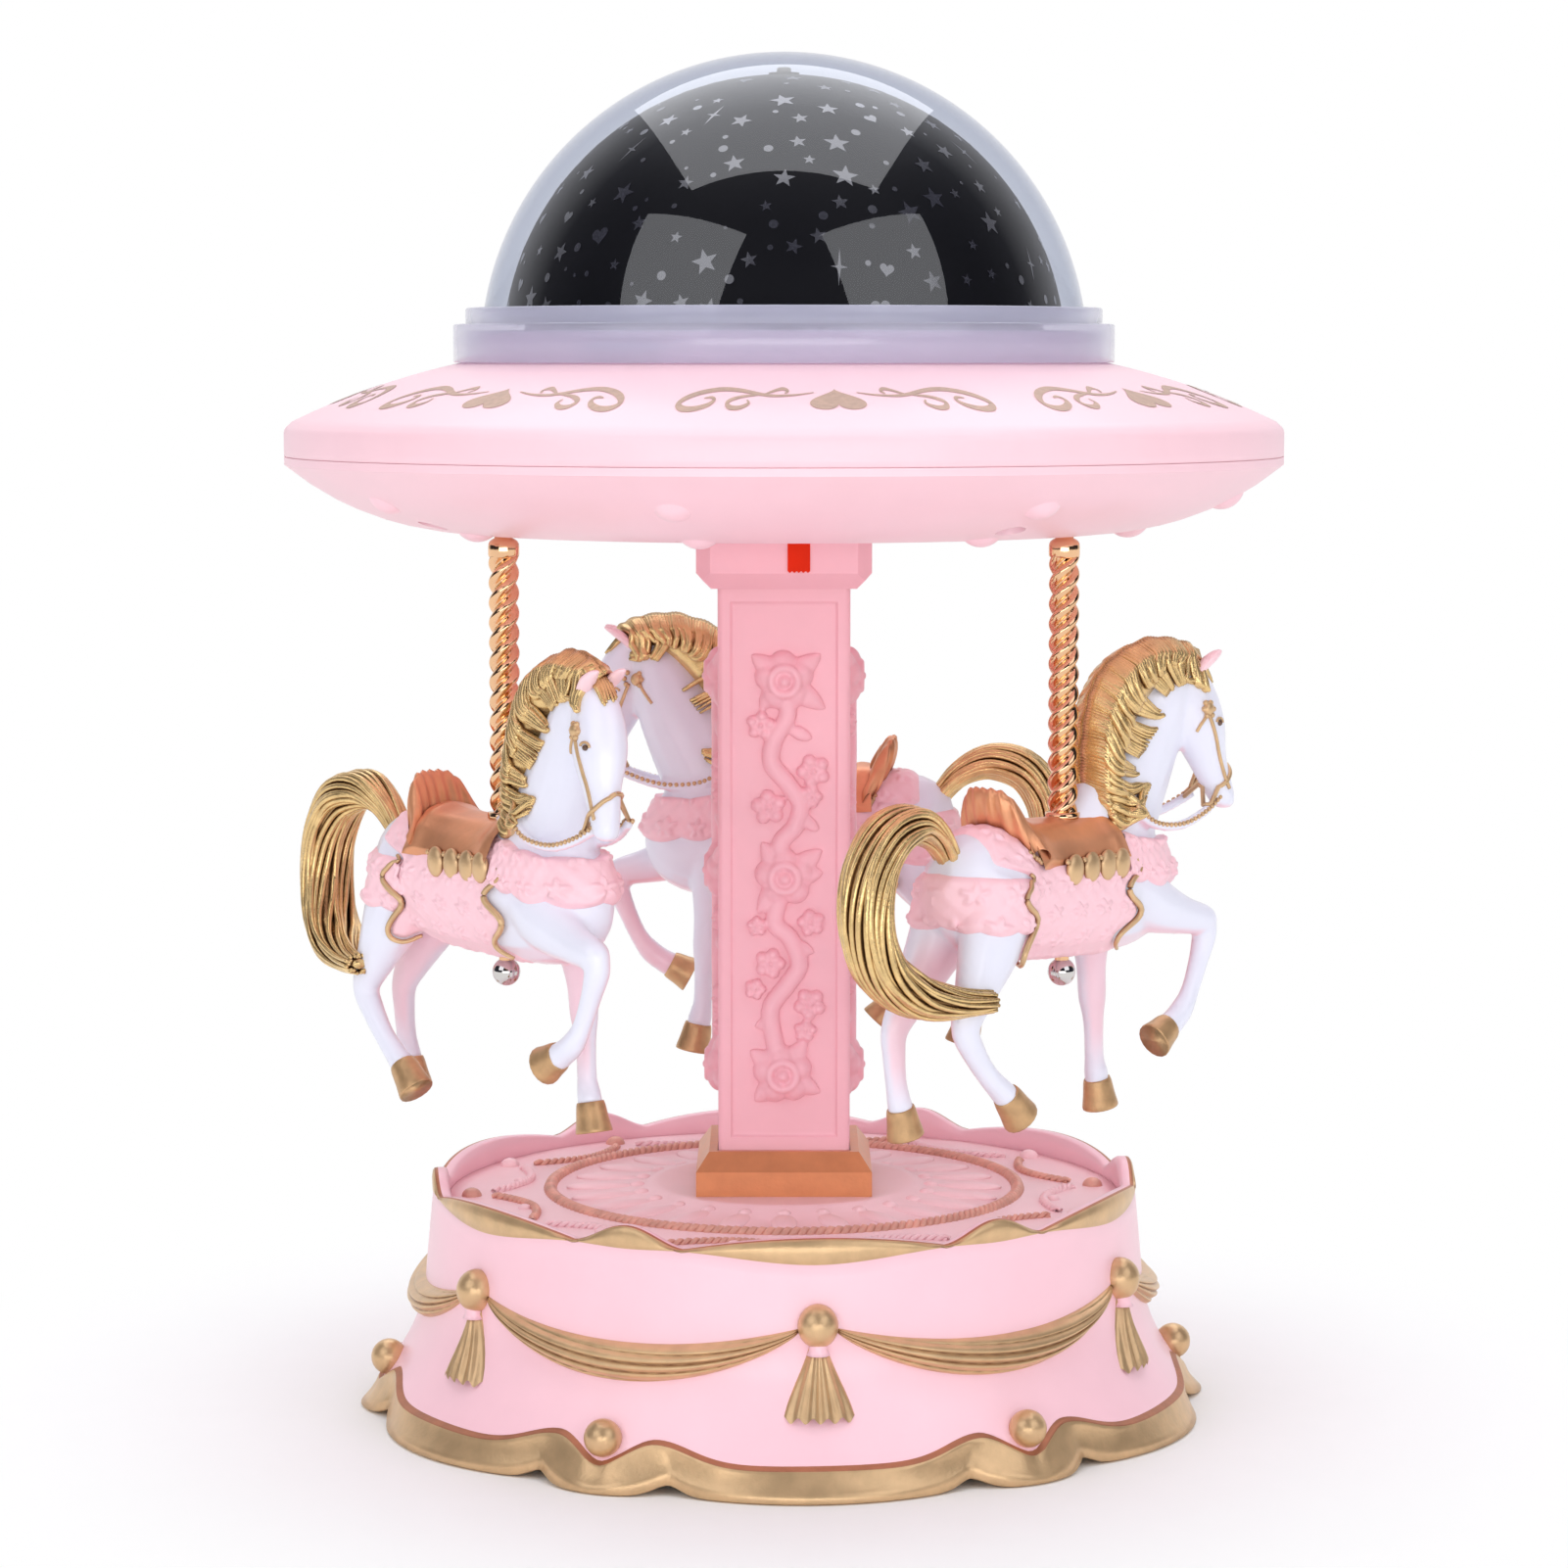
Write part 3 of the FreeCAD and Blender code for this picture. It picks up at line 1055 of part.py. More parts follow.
def movement_plate_upper():
    high = UPPER_PLATE_Z + PLATE_THICK
    holes = [rod(SHAFT_RADIUS + RUN, UPPER_PLATE_Z, high)]
    holes += [rod(PIVOT_RADIUS + RUN, UPPER_PLATE_Z, high, at) for at in (CYLINDER_AT, TRAIN_AT, GOVERNOR_AT)]
    holes += [rod(SCREW_RADIUS + SLIDE, UPPER_PLATE_Z, high, polar(MOVEMENT_SCREW_CIRCLE, angle))
              for angle in MOVEMENT_SCREW_ANGLES]
    return without(rod(PLATE_RADIUS, UPPER_PLATE_Z, high), holes)


def movement_pillars():
    return Part.makeCompound([rod(PILLAR_RADIUS, PLATE_TOP_Z, UPPER_PLATE_Z, polar(PILLAR_CIRCLE, angle))
                              for angle in PILLAR_ANGLES])


def movement_screws():
    return Part.makeCompound([screw(MOVEMENT_SCREW_LENGTH, polar(MOVEMENT_SCREW_CIRCLE, angle, UPPER_PLATE_Z))
                              for angle in MOVEMENT_SCREW_ANGLES])


def spring_barrel():
    wheel = gear(BARREL_TEETH, GEAR_Z, GEAR_Z + GEAR_FACE, CYLINDER_DIRECTION)
    body = wheel.fuse(rod(BARREL_RADIUS, GEAR_Z, BARREL_TOP_Z))
    return without(body, [rod(BARREL_RADIUS - BARREL_WALL, GEAR_Z + BARREL_FLOOR, BARREL_TOP_Z),
                          rod(WIND_RADIUS + RUN, GEAR_Z, GEAR_Z + BARREL_FLOOR)])


def barrel_lid():
    disc = rod(BARREL_RADIUS - BARREL_WALL - FIT, LID_Z, BARREL_TOP_Z)
    boss = rod(LID_BOSS_RADIUS, BARREL_TOP_Z, BARREL_TOP_Z + LID_BOSS_HEIGHT)
    return disc.fuse(boss).cut(rod(SHAFT_RADIUS + FIT, SHAFT_Z, BARREL_TOP_Z + LID_BOSS_HEIGHT))


def mainspring():
    """Flat strip wound in half turns whose centres alternate, so that each turn steps outwards."""
    low = GEAR_Z + BARREL_FLOOR + FREE
    high = LID_Z - FREE
    step = SPRING_PITCH / 2.0
    inner = WIND_RADIUS + SPRING_STRIP
    outside = []
    inside = []
    for k in range(2 * SPRING_TURNS):
        centre = 0.0 if k % 2 == 0 else step
        sign = 1.0 if k % 2 == 0 else -1.0
        radius = inner + step * k
        for reach, edges in ((radius + SPRING_STRIP, outside), (radius, inside)):
            edges.append(Part.Arc(V(centre + sign * reach, 0, low), V(centre, sign * reach, low),
                                  V(centre - sign * reach, 0, low)).toShape())
    starts = [edges[0].valueAt(edges[0].FirstParameter) for edges in (outside, inside)]
    stops = [edges[-1].valueAt(edges[-1].LastParameter) for edges in (outside, inside)]
    ends = [Part.makeLine(*starts), Part.makeLine(*stops)]
    wire = Part.Wire(Part.__sortEdges__(outside + inside + ends))
    return Part.Face(wire).extrude(V(0, 0, high - low))


def winding_arbor():
    collar_low = CUP_CEILING_Z + CUP_WALL + SLIDE
    upper = rod(WIND_RADIUS, collar_low, LID_Z - FREE)
    collar = rod(WIND_COLLAR_RADIUS, collar_low, PLATE_Z - SLIDE)
    return joined([upper, collar, rod(WIND_END_RADIUS, 2.0 * KEY_CLEAR, collar_low)])


def winding_key():
    top = KEY_CLEAR + KEY_HEIGHT
    middle = KEY_CLEAR + KEY_HEIGHT / 2.0
    tip = KEY_SPAN / 2.0 - KEY_HEIGHT / 2.0
    wing = block(2.0 * tip, KEY_THICK, KEY_CLEAR, top)
    tips = [V(side * tip, -KEY_THICK / 2.0, middle) for side in (-1, 1)]
    ends = [Part.makeCylinder(KEY_HEIGHT / 2.0, KEY_THICK, at, V(0, 1, 0)) for at in tips]
    holes = [Part.makeCylinder(KEY_HEIGHT / 5.0, KEY_THICK, at, V(0, 1, 0)) for at in tips]
    holes.append(rod(WIND_END_RADIUS + FIT, 2.0 * KEY_CLEAR, top))
    return without(rod(KEY_HUB_RADIUS, KEY_CLEAR, top).multiFuse([wing] + ends), holes)


def cylinder_arbor():
    half_tooth = 180.0 / CYLINDER_TEETH
    pinion = gear(CYLINDER_TEETH, GEAR_Z, GEAR_Z + GEAR_FACE, CYLINDER_DIRECTION + 180.0 + half_tooth,
                  CYLINDER_AT)
    return arbor(CYLINDER_AT).fuse(pinion)


def note_height(note):
    """Height of a note's tine."""
    return DRUM_Z + (DRUM_TOP_Z - DRUM_Z) * (note + 0.5) / NOTES


def cylinder_drum():
    golden = 137.508
    pins = []
    for k in range(PINS):
        ray = polar(1.0, golden * k)
        start = CYLINDER_AT + ray * (DRUM_RADIUS - PIN_LENGTH) + UP * note_height(5 * k % NOTES)
        pins.append(Part.makeCylinder(PIN_RADIUS, 2.0 * PIN_LENGTH, start, ray))
    drum = ring(DRUM_RADIUS, ARBOR_RADIUS + FIT, DRUM_Z, DRUM_TOP_Z, CYLINDER_AT)
    return drum.multiFuse(pins)


def cylinder_wheel():
    wheel = gear(WHEEL_TEETH, WHEEL_Z, WHEEL_Z + WHEEL_FACE, TRAIN_DIRECTION, CYLINDER_AT)
    return wheel.cut(rod(ARBOR_RADIUS + FIT, WHEEL_Z, WHEEL_Z + WHEEL_FACE, CYLINDER_AT))


def train_wheel():
    half_tooth = 180.0 / PINION_TEETH
    pinion = gear(PINION_TEETH, WHEEL_Z, WHEEL_Z + WHEEL_FACE, TRAIN_DIRECTION + 180.0 + half_tooth, TRAIN_AT)
    wheel = gear(WHEEL_TEETH, TRAIN_WHEEL_Z, TRAIN_WHEEL_Z + WHEEL_FACE, GOVERNOR_DIRECTION, TRAIN_AT)
    return arbor(TRAIN_AT).multiFuse([pinion, wheel])


def governor_fan():
    half_tooth = 180.0 / PINION_TEETH
    pinion = gear(PINION_TEETH, TRAIN_WHEEL_Z, TRAIN_WHEEL_Z + WHEEL_FACE,
                  GOVERNOR_DIRECTION + 180.0 + half_tooth, GOVERNOR_AT)
    low = (PLATE_TOP_Z + TRAIN_WHEEL_Z - FAN_HEIGHT) / 2.0
    vanes = block(2.0 * FAN_RADIUS, FAN_THICK, low, low + FAN_HEIGHT, GOVERNOR_AT)
    return arbor(GOVERNOR_AT).multiFuse([pinion, vanes])


def comb_tip():
    """Distance from the cylinder's axis to the ends of the tines."""
    return DRUM_RADIUS + PIN_LENGTH + FREE


def tuning_comb():
    tip = CYLINDER_AT.y - comb_tip()
    root = tip - TINE_LENGTH
    end = root - COMB_ROOT
    plate = Part.makeBox(COMB_THICK, tip - end, DRUM_TOP_Z - DRUM_Z, V(CYLINDER_AT.x, end, DRUM_Z))
    pitch = (DRUM_TOP_Z - DRUM_Z) / NOTES
    heights = [DRUM_Z + pitch * k - TINE_GAP / 2.0 for k in range(1, NOTES)]
    slits = [Part.makeBox(COMB_THICK, TINE_LENGTH, TINE_GAP, V(CYLINDER_AT.x, root, z)) for z in heights]
    holes = [comb_hole(z, SCREW_RADIUS + SLIDE, COMB_THICK, CYLINDER_AT.x) for z in comb_screw_heights()]
    return without(plate, slits + holes)


def comb_screw_heights():
    third = (DRUM_TOP_Z - DRUM_Z) / 4.0
    return (DRUM_Z + third, DRUM_TOP_Z - third)


def comb_hole(z, radius, length, start):
    """Cylinder across the comb's root, along +X."""
    y = CYLINDER_AT.y - comb_tip() - TINE_LENGTH - COMB_ROOT / 2.0
    return Part.makeCylinder(radius, length, V(start, y, z), V(1, 0, 0))


def comb_bracket():
    front = CYLINDER_AT.x + COMB_THICK
    root = CYLINDER_AT.y - comb_tip() - TINE_LENGTH
    corner = V(front, root - COMB_ROOT, PLATE_TOP_Z)
    post = Part.makeBox(BRACKET_THICK, COMB_ROOT, DRUM_TOP_Z - PLATE_TOP_Z, corner)
    holes = [comb_hole(z, SCREW_RADIUS + FIT, COMB_SCREW_LENGTH, front) for z in comb_screw_heights()]
    return without(post, holes)


def comb_screws():
    screws = []
    y = CYLINDER_AT.y - comb_tip() - TINE_LENGTH - COMB_ROOT / 2.0
    for z in comb_screw_heights():
        body = screw(COMB_SCREW_LENGTH, V(0, 0, 0))
        body.rotate(V(0, 0, 0), V(0, 1, 0), 90)
        screws.append(moved(body, V(CYLINDER_AT.x, y, z)))
    return Part.makeCompound(screws)


nodes = {
    "base_shell": base_shell(),
    "bottom_plate": bottom_plate(),
    "bottom_screws": bottom_screws(),
    "stage_deck": stage_deck(),
    "column": column(),
    "column_screws": column_screws(),
    "column_plinth": column_plinth(),
    "column_capital": column_capital(),
    "tape_tab": tape_tab(),
    "capital_bush": capital_bush(),
    "thrust_washer": thrust_washer(),
    "drive_shaft": drive_shaft(),
    "drive_hub": drive_hub(),
    "hub_screws": hub_screws(),
    "canopy_lower": canopy_lower(),
    "canopy_upper": canopy_upper(),
    "canopy_screws": canopy_screws(),
    "dome_collar": dome_collar(),
    "outer_dome": cap(DOME_RADIUS, DOME_WALL),
    "star_dome": star_dome(),
    "lamp_plate": lamp_plate(),
    "lamp_board": lamp_board(),
    "lamp_led": lamp_led(),
    "battery_tray": battery_tray(),
    "battery_cells": battery_cells(),
    "light_switch_body": light_switch_body(),
    "light_switch_knob": light_switch_knob(),
    "pole_balls": pole_balls(),
    "pole_nuts": pole_nuts(),
    "movement_plate_lower": movement_plate_lower(),
    "movement_plate_upper": movement_plate_upper(),
    "movement_pillars": movement_pillars(),
    "movement_screws": movement_screws(),
    "spring_barrel": spring_barrel(),
    "barrel_lid": barrel_lid(),
    "mainspring": mainspring(),
    "winding_arbor": winding_arbor(),
    "winding_key": winding_key(),
    "cylinder_arbor": cylinder_arbor(),
    "cylinder_drum": cylinder_drum(),
    "cylinder_wheel": cylinder_wheel(),
    "train_wheel": train_wheel(),
    "governor_fan": governor_fan(),
    "tuning_comb": tuning_comb(),
    "comb_bracket": comb_bracket(),
    "comb_screws": comb_screws(),
}

# The horses and their poles, each turned to its own heading on its pole
figure = horse()
twisted_pole = pole()
for number, (place, turn) in enumerate(zip(pole_points(), HORSE_TURNS), start=1):
    heading = POLE_ANGLE + 360.0 * (number - 1) / HORSES + 90.0 + turn
    nodes["horse_%d" % number] = moved(turned(figure, heading), place)
    nodes["pole_%d" % number] = moved(turned(twisted_pole, heading), place)

os.makedirs("parts", exist_ok=True)
for name, shape in nodes.items():
    shape.exportStep("parts/%s.step" % name)
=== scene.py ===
import random
from math import asin, atan2, copysign, cos, degrees, exp, floor, hypot, pi, radians, sin, sqrt, tau
import bpy
from mathutils import Matrix, Vector
from mathutils.bvhtree import BVHTree


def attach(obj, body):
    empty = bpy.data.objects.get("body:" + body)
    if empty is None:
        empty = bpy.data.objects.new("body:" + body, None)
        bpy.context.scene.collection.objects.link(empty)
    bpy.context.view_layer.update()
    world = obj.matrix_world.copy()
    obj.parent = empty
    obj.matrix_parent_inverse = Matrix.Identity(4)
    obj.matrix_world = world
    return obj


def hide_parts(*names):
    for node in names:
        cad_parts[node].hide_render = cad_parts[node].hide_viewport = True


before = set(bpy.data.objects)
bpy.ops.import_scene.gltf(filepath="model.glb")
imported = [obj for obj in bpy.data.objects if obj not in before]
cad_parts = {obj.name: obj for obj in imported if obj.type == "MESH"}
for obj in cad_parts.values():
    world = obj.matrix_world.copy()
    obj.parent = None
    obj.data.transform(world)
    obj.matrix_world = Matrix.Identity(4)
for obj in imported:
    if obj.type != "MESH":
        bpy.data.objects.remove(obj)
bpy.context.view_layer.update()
MM = 0.001
UP = Vector((0, 0, 1))
SIDES = (-1, 1)


# Small helpers, in millimetres and degrees

def lin(r, g, b):
    """Linear colour from screen values of 0 to 255."""
    def one(v):
        v /= 255.0
        return v / 12.92 if v <= 0.04045 else ((v + 0.055) / 1.055) ** 2.4
    return (one(r), one(g), one(b), 1.0)


def polar(r, angle, z):
    t = radians(angle)
    return (r * cos(t), r * sin(t), z)


def mix(a, b, t):
    return a + (b - a) * t


def smooth(t):
    t = min(1.0, max(0.0, t))
    return t * t * (3.0 - 2.0 * t)


def shares(n):
    """n + 1 evenly spaced values from 0 to 1."""
    return [k / n for k in range(n + 1)]


def round_trip(n, closed=False):
    """n angles evenly spaced round a circle, in radians, and a full turn as the last if closed."""
    return [tau * k / n for k in range(n + closed)]


def direction(path, k):
    """Direction of a path of vectors at one of its points."""
    return (path[min(k + 1, len(path) - 1)] - path[max(k - 1, 0)]).normalized()


def grid(f, nu, nv, close_u=False, close_v=False):
    """Vertices and quads of a surface f(u, v), with u and v from 0 to 1."""
    cu = nu if close_u else nu + 1
    cv = nv if close_v else nv + 1
    verts = [f(i / nu, j / nv) for i in range(cu) for j in range(cv)]
    faces = []
    for i in range(nu):
        for j in range(nv):
            a, b = i, (i + 1) % cu
            c, d = j, (j + 1) % cv
            faces.append((a * cv + c, b * cv + c, b * cv + d, a * cv + d))
    return verts, faces


def new_object(name, verts, faces):
    """Object with a new mesh of its own, from vertices in millimetres."""
    mesh = bpy.data.meshes.new(name)
    mesh.from_pydata([(x * MM, y * MM, z * MM) for x, y, z in verts], [], faces)
    obj = bpy.data.objects.new(name, mesh)
    bpy.context.scene.collection.objects.link(obj)
    return obj


class Shape:
    """Collects meshes that become one piece."""

    def __init__(self):
        self.verts, self.faces, self.slots = [], [], []

    def add(self, mesh, slot=0, place=None):
        verts, faces = mesh
        start = len(self.verts)
        if place is not None:
            verts = [tuple(place @ Vector(v)) for v in verts]
        self.verts += verts
        self.faces += [tuple(start + k for k in face) for face in faces]
        self.slots += [slot(k) if callable(slot) else slot for k in range(len(faces))]
        return self

    def piece(self, name, mats, body, swaps=(), slot=None, flat=False):
        obj = new_object(name, self.verts, self.faces)
        mesh = obj.data
        mesh.polygons.foreach_set("material_index", self.slots)
        mesh.polygons.foreach_set("use_smooth", [not flat] * len(self.faces))
        mesh.update()
        for mat in mats if isinstance(mats, (list, tuple)) else [mats]:
            mesh.materials.append(mat)
        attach(obj, body)
        if swaps:
            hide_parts(*swaps)
        return obj


def ball(r, at=(0, 0, 0), nu=24, nv=14, stretch=(1, 1, 1)):
    def point(u, v):
        return (at[0] + r * stretch[0] * sin(pi * v) * cos(tau * u),
                at[1] + r * stretch[1] * sin(pi * v) * sin(tau * u),
                at[2] - r * stretch[2] * cos(pi * v))
    return grid(point, nu, nv, close_u=True)


def lathe(profile, nu=180):
    """Surface of revolution from points (r, z)."""
    n = len(profile) - 1

    def point(u, v):
        r, z = profile[round(v * n)]
        return polar(r, 360.0 * u, z)
    return grid(point, nu, n, close_u=True)


def arc(a, b, bow, n):
    """Points from a to b on a parabola with its middle off the chord, to its left."""
    dx, dz = b[0] - a[0], b[1] - a[1]
    size = hypot(dx, dz)
    out = []
    for t in shares(n):
        off = 4.0 * bow * t * (1.0 - t) / size
        out.append((mix(a[0], b[0], t) - dz * off, mix(a[1], b[1], t) + dx * off))
    return out


def spline(points, n):
    """n + 1 points on a Catmull-Rom curve through points of any size."""
    out = []
    last = len(points) - 1
    for k in range(n + 1):
        t = k / n * last
        i = min(int(t), last - 1)
        f = t - i
        p0, p1 = points[max(i - 1, 0)], points[i]
        p2, p3 = points[i + 1], points[min(i + 2, last)]
        out.append(tuple(0.5 * (2 * b + (c - a) * f + (2 * a - 5 * b + 4 * c - d) * f * f
                                + (3 * b - a - 3 * c + d) * f ** 3) for a, b, c, d in zip(p0, p1, p2, p3)))
    return out


def ring_faces(n, sides, caps=True):
    """Quads between n + 1 rings of vertices, and a cap at each end."""
    faces = []
    for k in range(n):
        for s in range(sides):
            a, b = k * sides + s, k * sides + (s + 1) % sides
            faces.append((a, b, b + sides, a + sides))
    if caps:
        faces.append(tuple(range(sides))[::-1])
        faces.append(tuple(n * sides + s for s in range(sides)))
    return faces


def tube(path, radius, sides=10, flat=1.0, up=UP, caps=True):
    """Tube along points. radius may be a function of the share along it; flat squeezes it along up."""
    pts = [Vector(p[:3]) for p in path]
    n = len(pts) - 1
    verts = []
    up = Vector(up)
    for k, p in enumerate(pts):
        ahead = direction(pts, k)
        side = ahead.cross(up)
        if side.length < 0.05:
            side = ahead.cross(Vector((1, 0.3, 0)))
        side.normalize()
        rise = side.cross(ahead)
        r = radius(k / n) if callable(radius) else radius
        for t in round_trip(sides):
            verts.append(tuple(p + side * (r * cos(t)) + rise * (r * flat * sin(t))))
    return verts, ring_faces(n, sides, caps)


def sculpted(shape, voxel, rounds):
    """One smooth skin over all the closed forms of a shape."""
    rough = new_object("rough", shape.verts, shape.faces)
    mesh = rough.data
    merge = rough.modifiers.new("merge", "REMESH")
    merge.mode = "VOXEL"
    merge.voxel_size = voxel * MM
    soften = rough.modifiers.new("soften", "SMOOTH")
    soften.factor = 0.5
    soften.iterations = rounds
    skin = bpy.data.meshes.new_from_object(rough.evaluated_get(bpy.context.evaluated_depsgraph_get()))
    verts = [tuple(v.co / MM) for v in skin.vertices]
    faces = [tuple(p.vertices) for p in skin.polygons]
    bpy.data.objects.remove(rough)
    bpy.data.meshes.remove(mesh)
    bpy.data.meshes.remove(skin)
    return verts, faces


# Materials

def set_inputs(made, values):
    """Values in a node's sockets, or links to them from another node and its output."""
    for key, value in values.items():
        if isinstance(value, tuple) and isinstance(value[0], bpy.types.Node):
            made.id_data.links.new(value[0].outputs[value[1]], made.inputs[key])
        else:
            made.inputs[key].default_value = value
    return made


def node(tree, kind, inputs=None, **settings):
    """New shader node with settings of its own and values or links in its sockets."""
    made = tree.nodes.new("ShaderNode" + kind)
    for key, value in settings.items():
        setattr(made, key, value)
    return set_inputs(made, inputs or {})


def ramp_node(tree, source, *stops):
    """Colour ramp between two stops, each a place and a colour."""
    made = node(tree, "ValToRGB", {"Fac": source})
    for element, (place, color) in zip(made.color_ramp.elements, stops):
        element.position = place
        element.color = color
    return made


def new_material(name):
    mat = bpy.data.materials.new(name)
    mat.use_nodes = True
    return mat, mat.node_tree


def material(name, color, rough=0.4, metal=0.0, coat=0.0, vary=0.05, scale=120.0, bump=0.03, grain=900.0,
             crease_shade=None, **extra):
    """Principled material varied by fine noise, with painted shade that darkens its creases by ambient
    occlusion if a shade colour is given.
    """
    mat, tree = new_material(name)
    shader = tree.nodes["Principled BSDF"]
    where = (node(tree, "TexCoord"), "Object")
    cloud = (node(tree, "TexNoise", {"Vector": where, "Scale": scale, "Detail": 4.0}), "Fac")
    fine = node(tree, "TexNoise", {"Vector": where, "Scale": grain, "Detail": 3.0})
    dark, light = (tuple(min(1.0, c * gain) for c in color[:3]) + (1.0,) for gain in (1.0 - vary, 1.0 + vary))
    tone = (ramp_node(tree, cloud, (0.3, dark), (0.7, light)), "Color")
    span = node(tree, "MapRange", {"Value": cloud, "To Min": rough * 0.85, "To Max": rough * 1.15})
    dent = node(tree, "Bump", {"Height": (fine, "Fac"), "Strength": bump, "Distance": 0.0005})
    # Painted shade: where ambient occlusion finds creases and close parts, the colour goes over into the dark
    # crease shade colour
    if crease_shade:
        crease = node(tree, "AmbientOcclusion", {"Distance": 0.0014}, samples=8, only_local=True)
        depth = node(tree, "MapRange", {"Value": (crease, "AO"), "From Min": 0.30, "From Max": 0.80})
        crease_darkening = node(tree, "Mix", data_type="RGBA")
        tone = (set_inputs(crease_darkening, {"Factor": (depth, "Result"), "A": crease_shade, "B": tone}), "Result")
    set_inputs(shader, {"Base Color": color, "Roughness": rough, "Metallic": metal, "Coat Weight": coat,
                        "Coat Roughness": 0.12})
    set_inputs(shader, {"Base Color": tone, "Roughness": (span, "Result"), "Normal": (dent, "Normal")})
    set_inputs(shader, {key.replace("_", " "): value for key, value in extra.items()})
    return mat


PINK_CANOPY = material("canopy_pink", lin(250, 207, 216), 0.42, coat=0.1, vary=0.012, bump=0.02)
PINK_BASE = material("base_pink", lin(253, 205, 216), 0.36, coat=0.2, vary=0.015, bump=0.03)
PINK_COLUMN = material("column_pink", lin(250, 190, 201), 0.42, vary=0.02, bump=0.05)
PINK_DECK = material("deck_pink", lin(254, 213, 218), 0.42, vary=0.03, bump=0.05)
PINK_CLOTH = material("cloth_pink", lin(253, 206, 215), 0.42, vary=0.02, bump=0.35, grain=420.0)
PINK_EAR = material("ear_pink", lin(253, 214, 220), 0.4, vary=0.02, bump=0.05)
# The gold, the hair and the saddle take painted shade in their creases
GOLD = material("gold_crease_shaded", lin(220, 184, 140), 0.34, metal=0.6, vary=0.10, scale=260.0, bump=0.10,
                grain=1600.0, crease_shade=lin(142, 92, 62))
HAIR_GOLD = material("hair_gold", lin(232, 198, 140), 0.26, metal=0.75, vary=0.16, scale=420.0, bump=0.12,
                     grain=1800.0, crease_shade=lin(128, 84, 46))
GOLD_DARK = material("dark_gold", lin(190, 126, 96), 0.45, metal=0.6, vary=0.12, scale=260.0, bump=0.10,
                     grain=1600.0)
COPPER = material("copper_gold", lin(222, 151, 104), 0.36, metal=0.5, vary=0.06, scale=300.0, bump=0.08,
                  grain=1600.0)
WHITE = material("horse_pearl", lin(233, 233, 246), 0.32, coat=0.3, vary=0.015, bump=0.04)
ROSE = material("rose_plating", lin(240, 194, 152), 0.10, metal=1.0, vary=0.05, scale=200.0, bump=0.01)
CHROME = material("bright_plating", lin(214, 210, 208), 0.08, metal=1.0, vary=0.03, bump=0.01)
PRINT = material("taupe_print", lin(190, 158, 140), 0.5, metal=0.25, vary=0.12, scale=900.0, bump=0.08)
TAPE = material("red_tape", lin(226, 44, 12), 0.6, vary=0.06, bump=0.05, Specular_IOR_Level=0.1)
STEEL = material("bare_steel", lin(160, 160, 164), 0.35, metal=1.0, vary=0.05, bump=0.04)
BRASS = material("brass", lin(206, 168, 96), 0.3, metal=1.0, vary=0.06, bump=0.04)
IRON = material("cast_bracket", lin(84, 84, 86), 0.6, metal=0.6, vary=0.12, bump=0.2)
BLACK = material("black_plastic", lin(34, 34, 36), 0.5, vary=0.08, bump=0.12)
PLAIN = material("white_plastic", lin(232, 232, 230), 0.5, vary=0.02, bump=0.05)
BOARD = material("green_board", lin(40, 104, 66), 0.4, coat=0.3, vary=0.08, bump=0.05)
SLEEVE = material("cell_sleeve", lin(60, 62, 70), 0.35, metal=0.4, vary=0.08, bump=0.03)
LENS = material("lamp_lens", lin(240, 236, 205), 0.2, coat=0.5, vary=0.03, bump=0.02, Transmission_Weight=0.4)
STARRY = material("black_dome", lin(9, 9, 14), 0.5, vary=0.15, scale=90.0, bump=0.005,
                  Specular_IOR_Level=0.15)
STAR = material("star_print", lin(50, 50, 58), 0.2, vary=0.10, scale=500.0, bump=0.01, IOR=2.4)
ROPE = material("rope_gold", lin(228, 172, 154), 0.45, metal=0.2, vary=0.16, scale=300.0, bump=0.10,
                grain=1600.0)
SADDLE = material("saddle_bronze", lin(234, 164, 122), 0.34, metal=0.55, vary=0.16, scale=110.0, bump=0.08,
                  grain=1400.0, crease_shade=lin(132, 66, 40))
HOOF = material("hoof_gold", lin(202, 162, 118), 0.38, metal=0.55, vary=0.14, scale=400.0, bump=0.12,
                grain=1600.0)
EYE = material("eye_dark", lin(96, 66, 48), 0.2, coat=0.6, vary=0.2, scale=900.0, bump=0.02)

# The horses' white goes over into pink by an attribute of their mesh, on sides that face inwards between the
# legs and downwards under the belly
tree = WHITE.node_tree
paint = tree.nodes["Principled BSDF"]
blush = node(tree, "Attribute", attribute_name="blush")
tinge = node(tree, "Mix", {"Factor": (blush, "Fac"), "B": lin(250, 196, 206)}, data_type="RGBA")
tree.links.new(paint.inputs["Base Color"].links[0].from_socket, tinge.inputs["A"])
set_inputs(paint, {"Base Color": (tinge, "Result")})


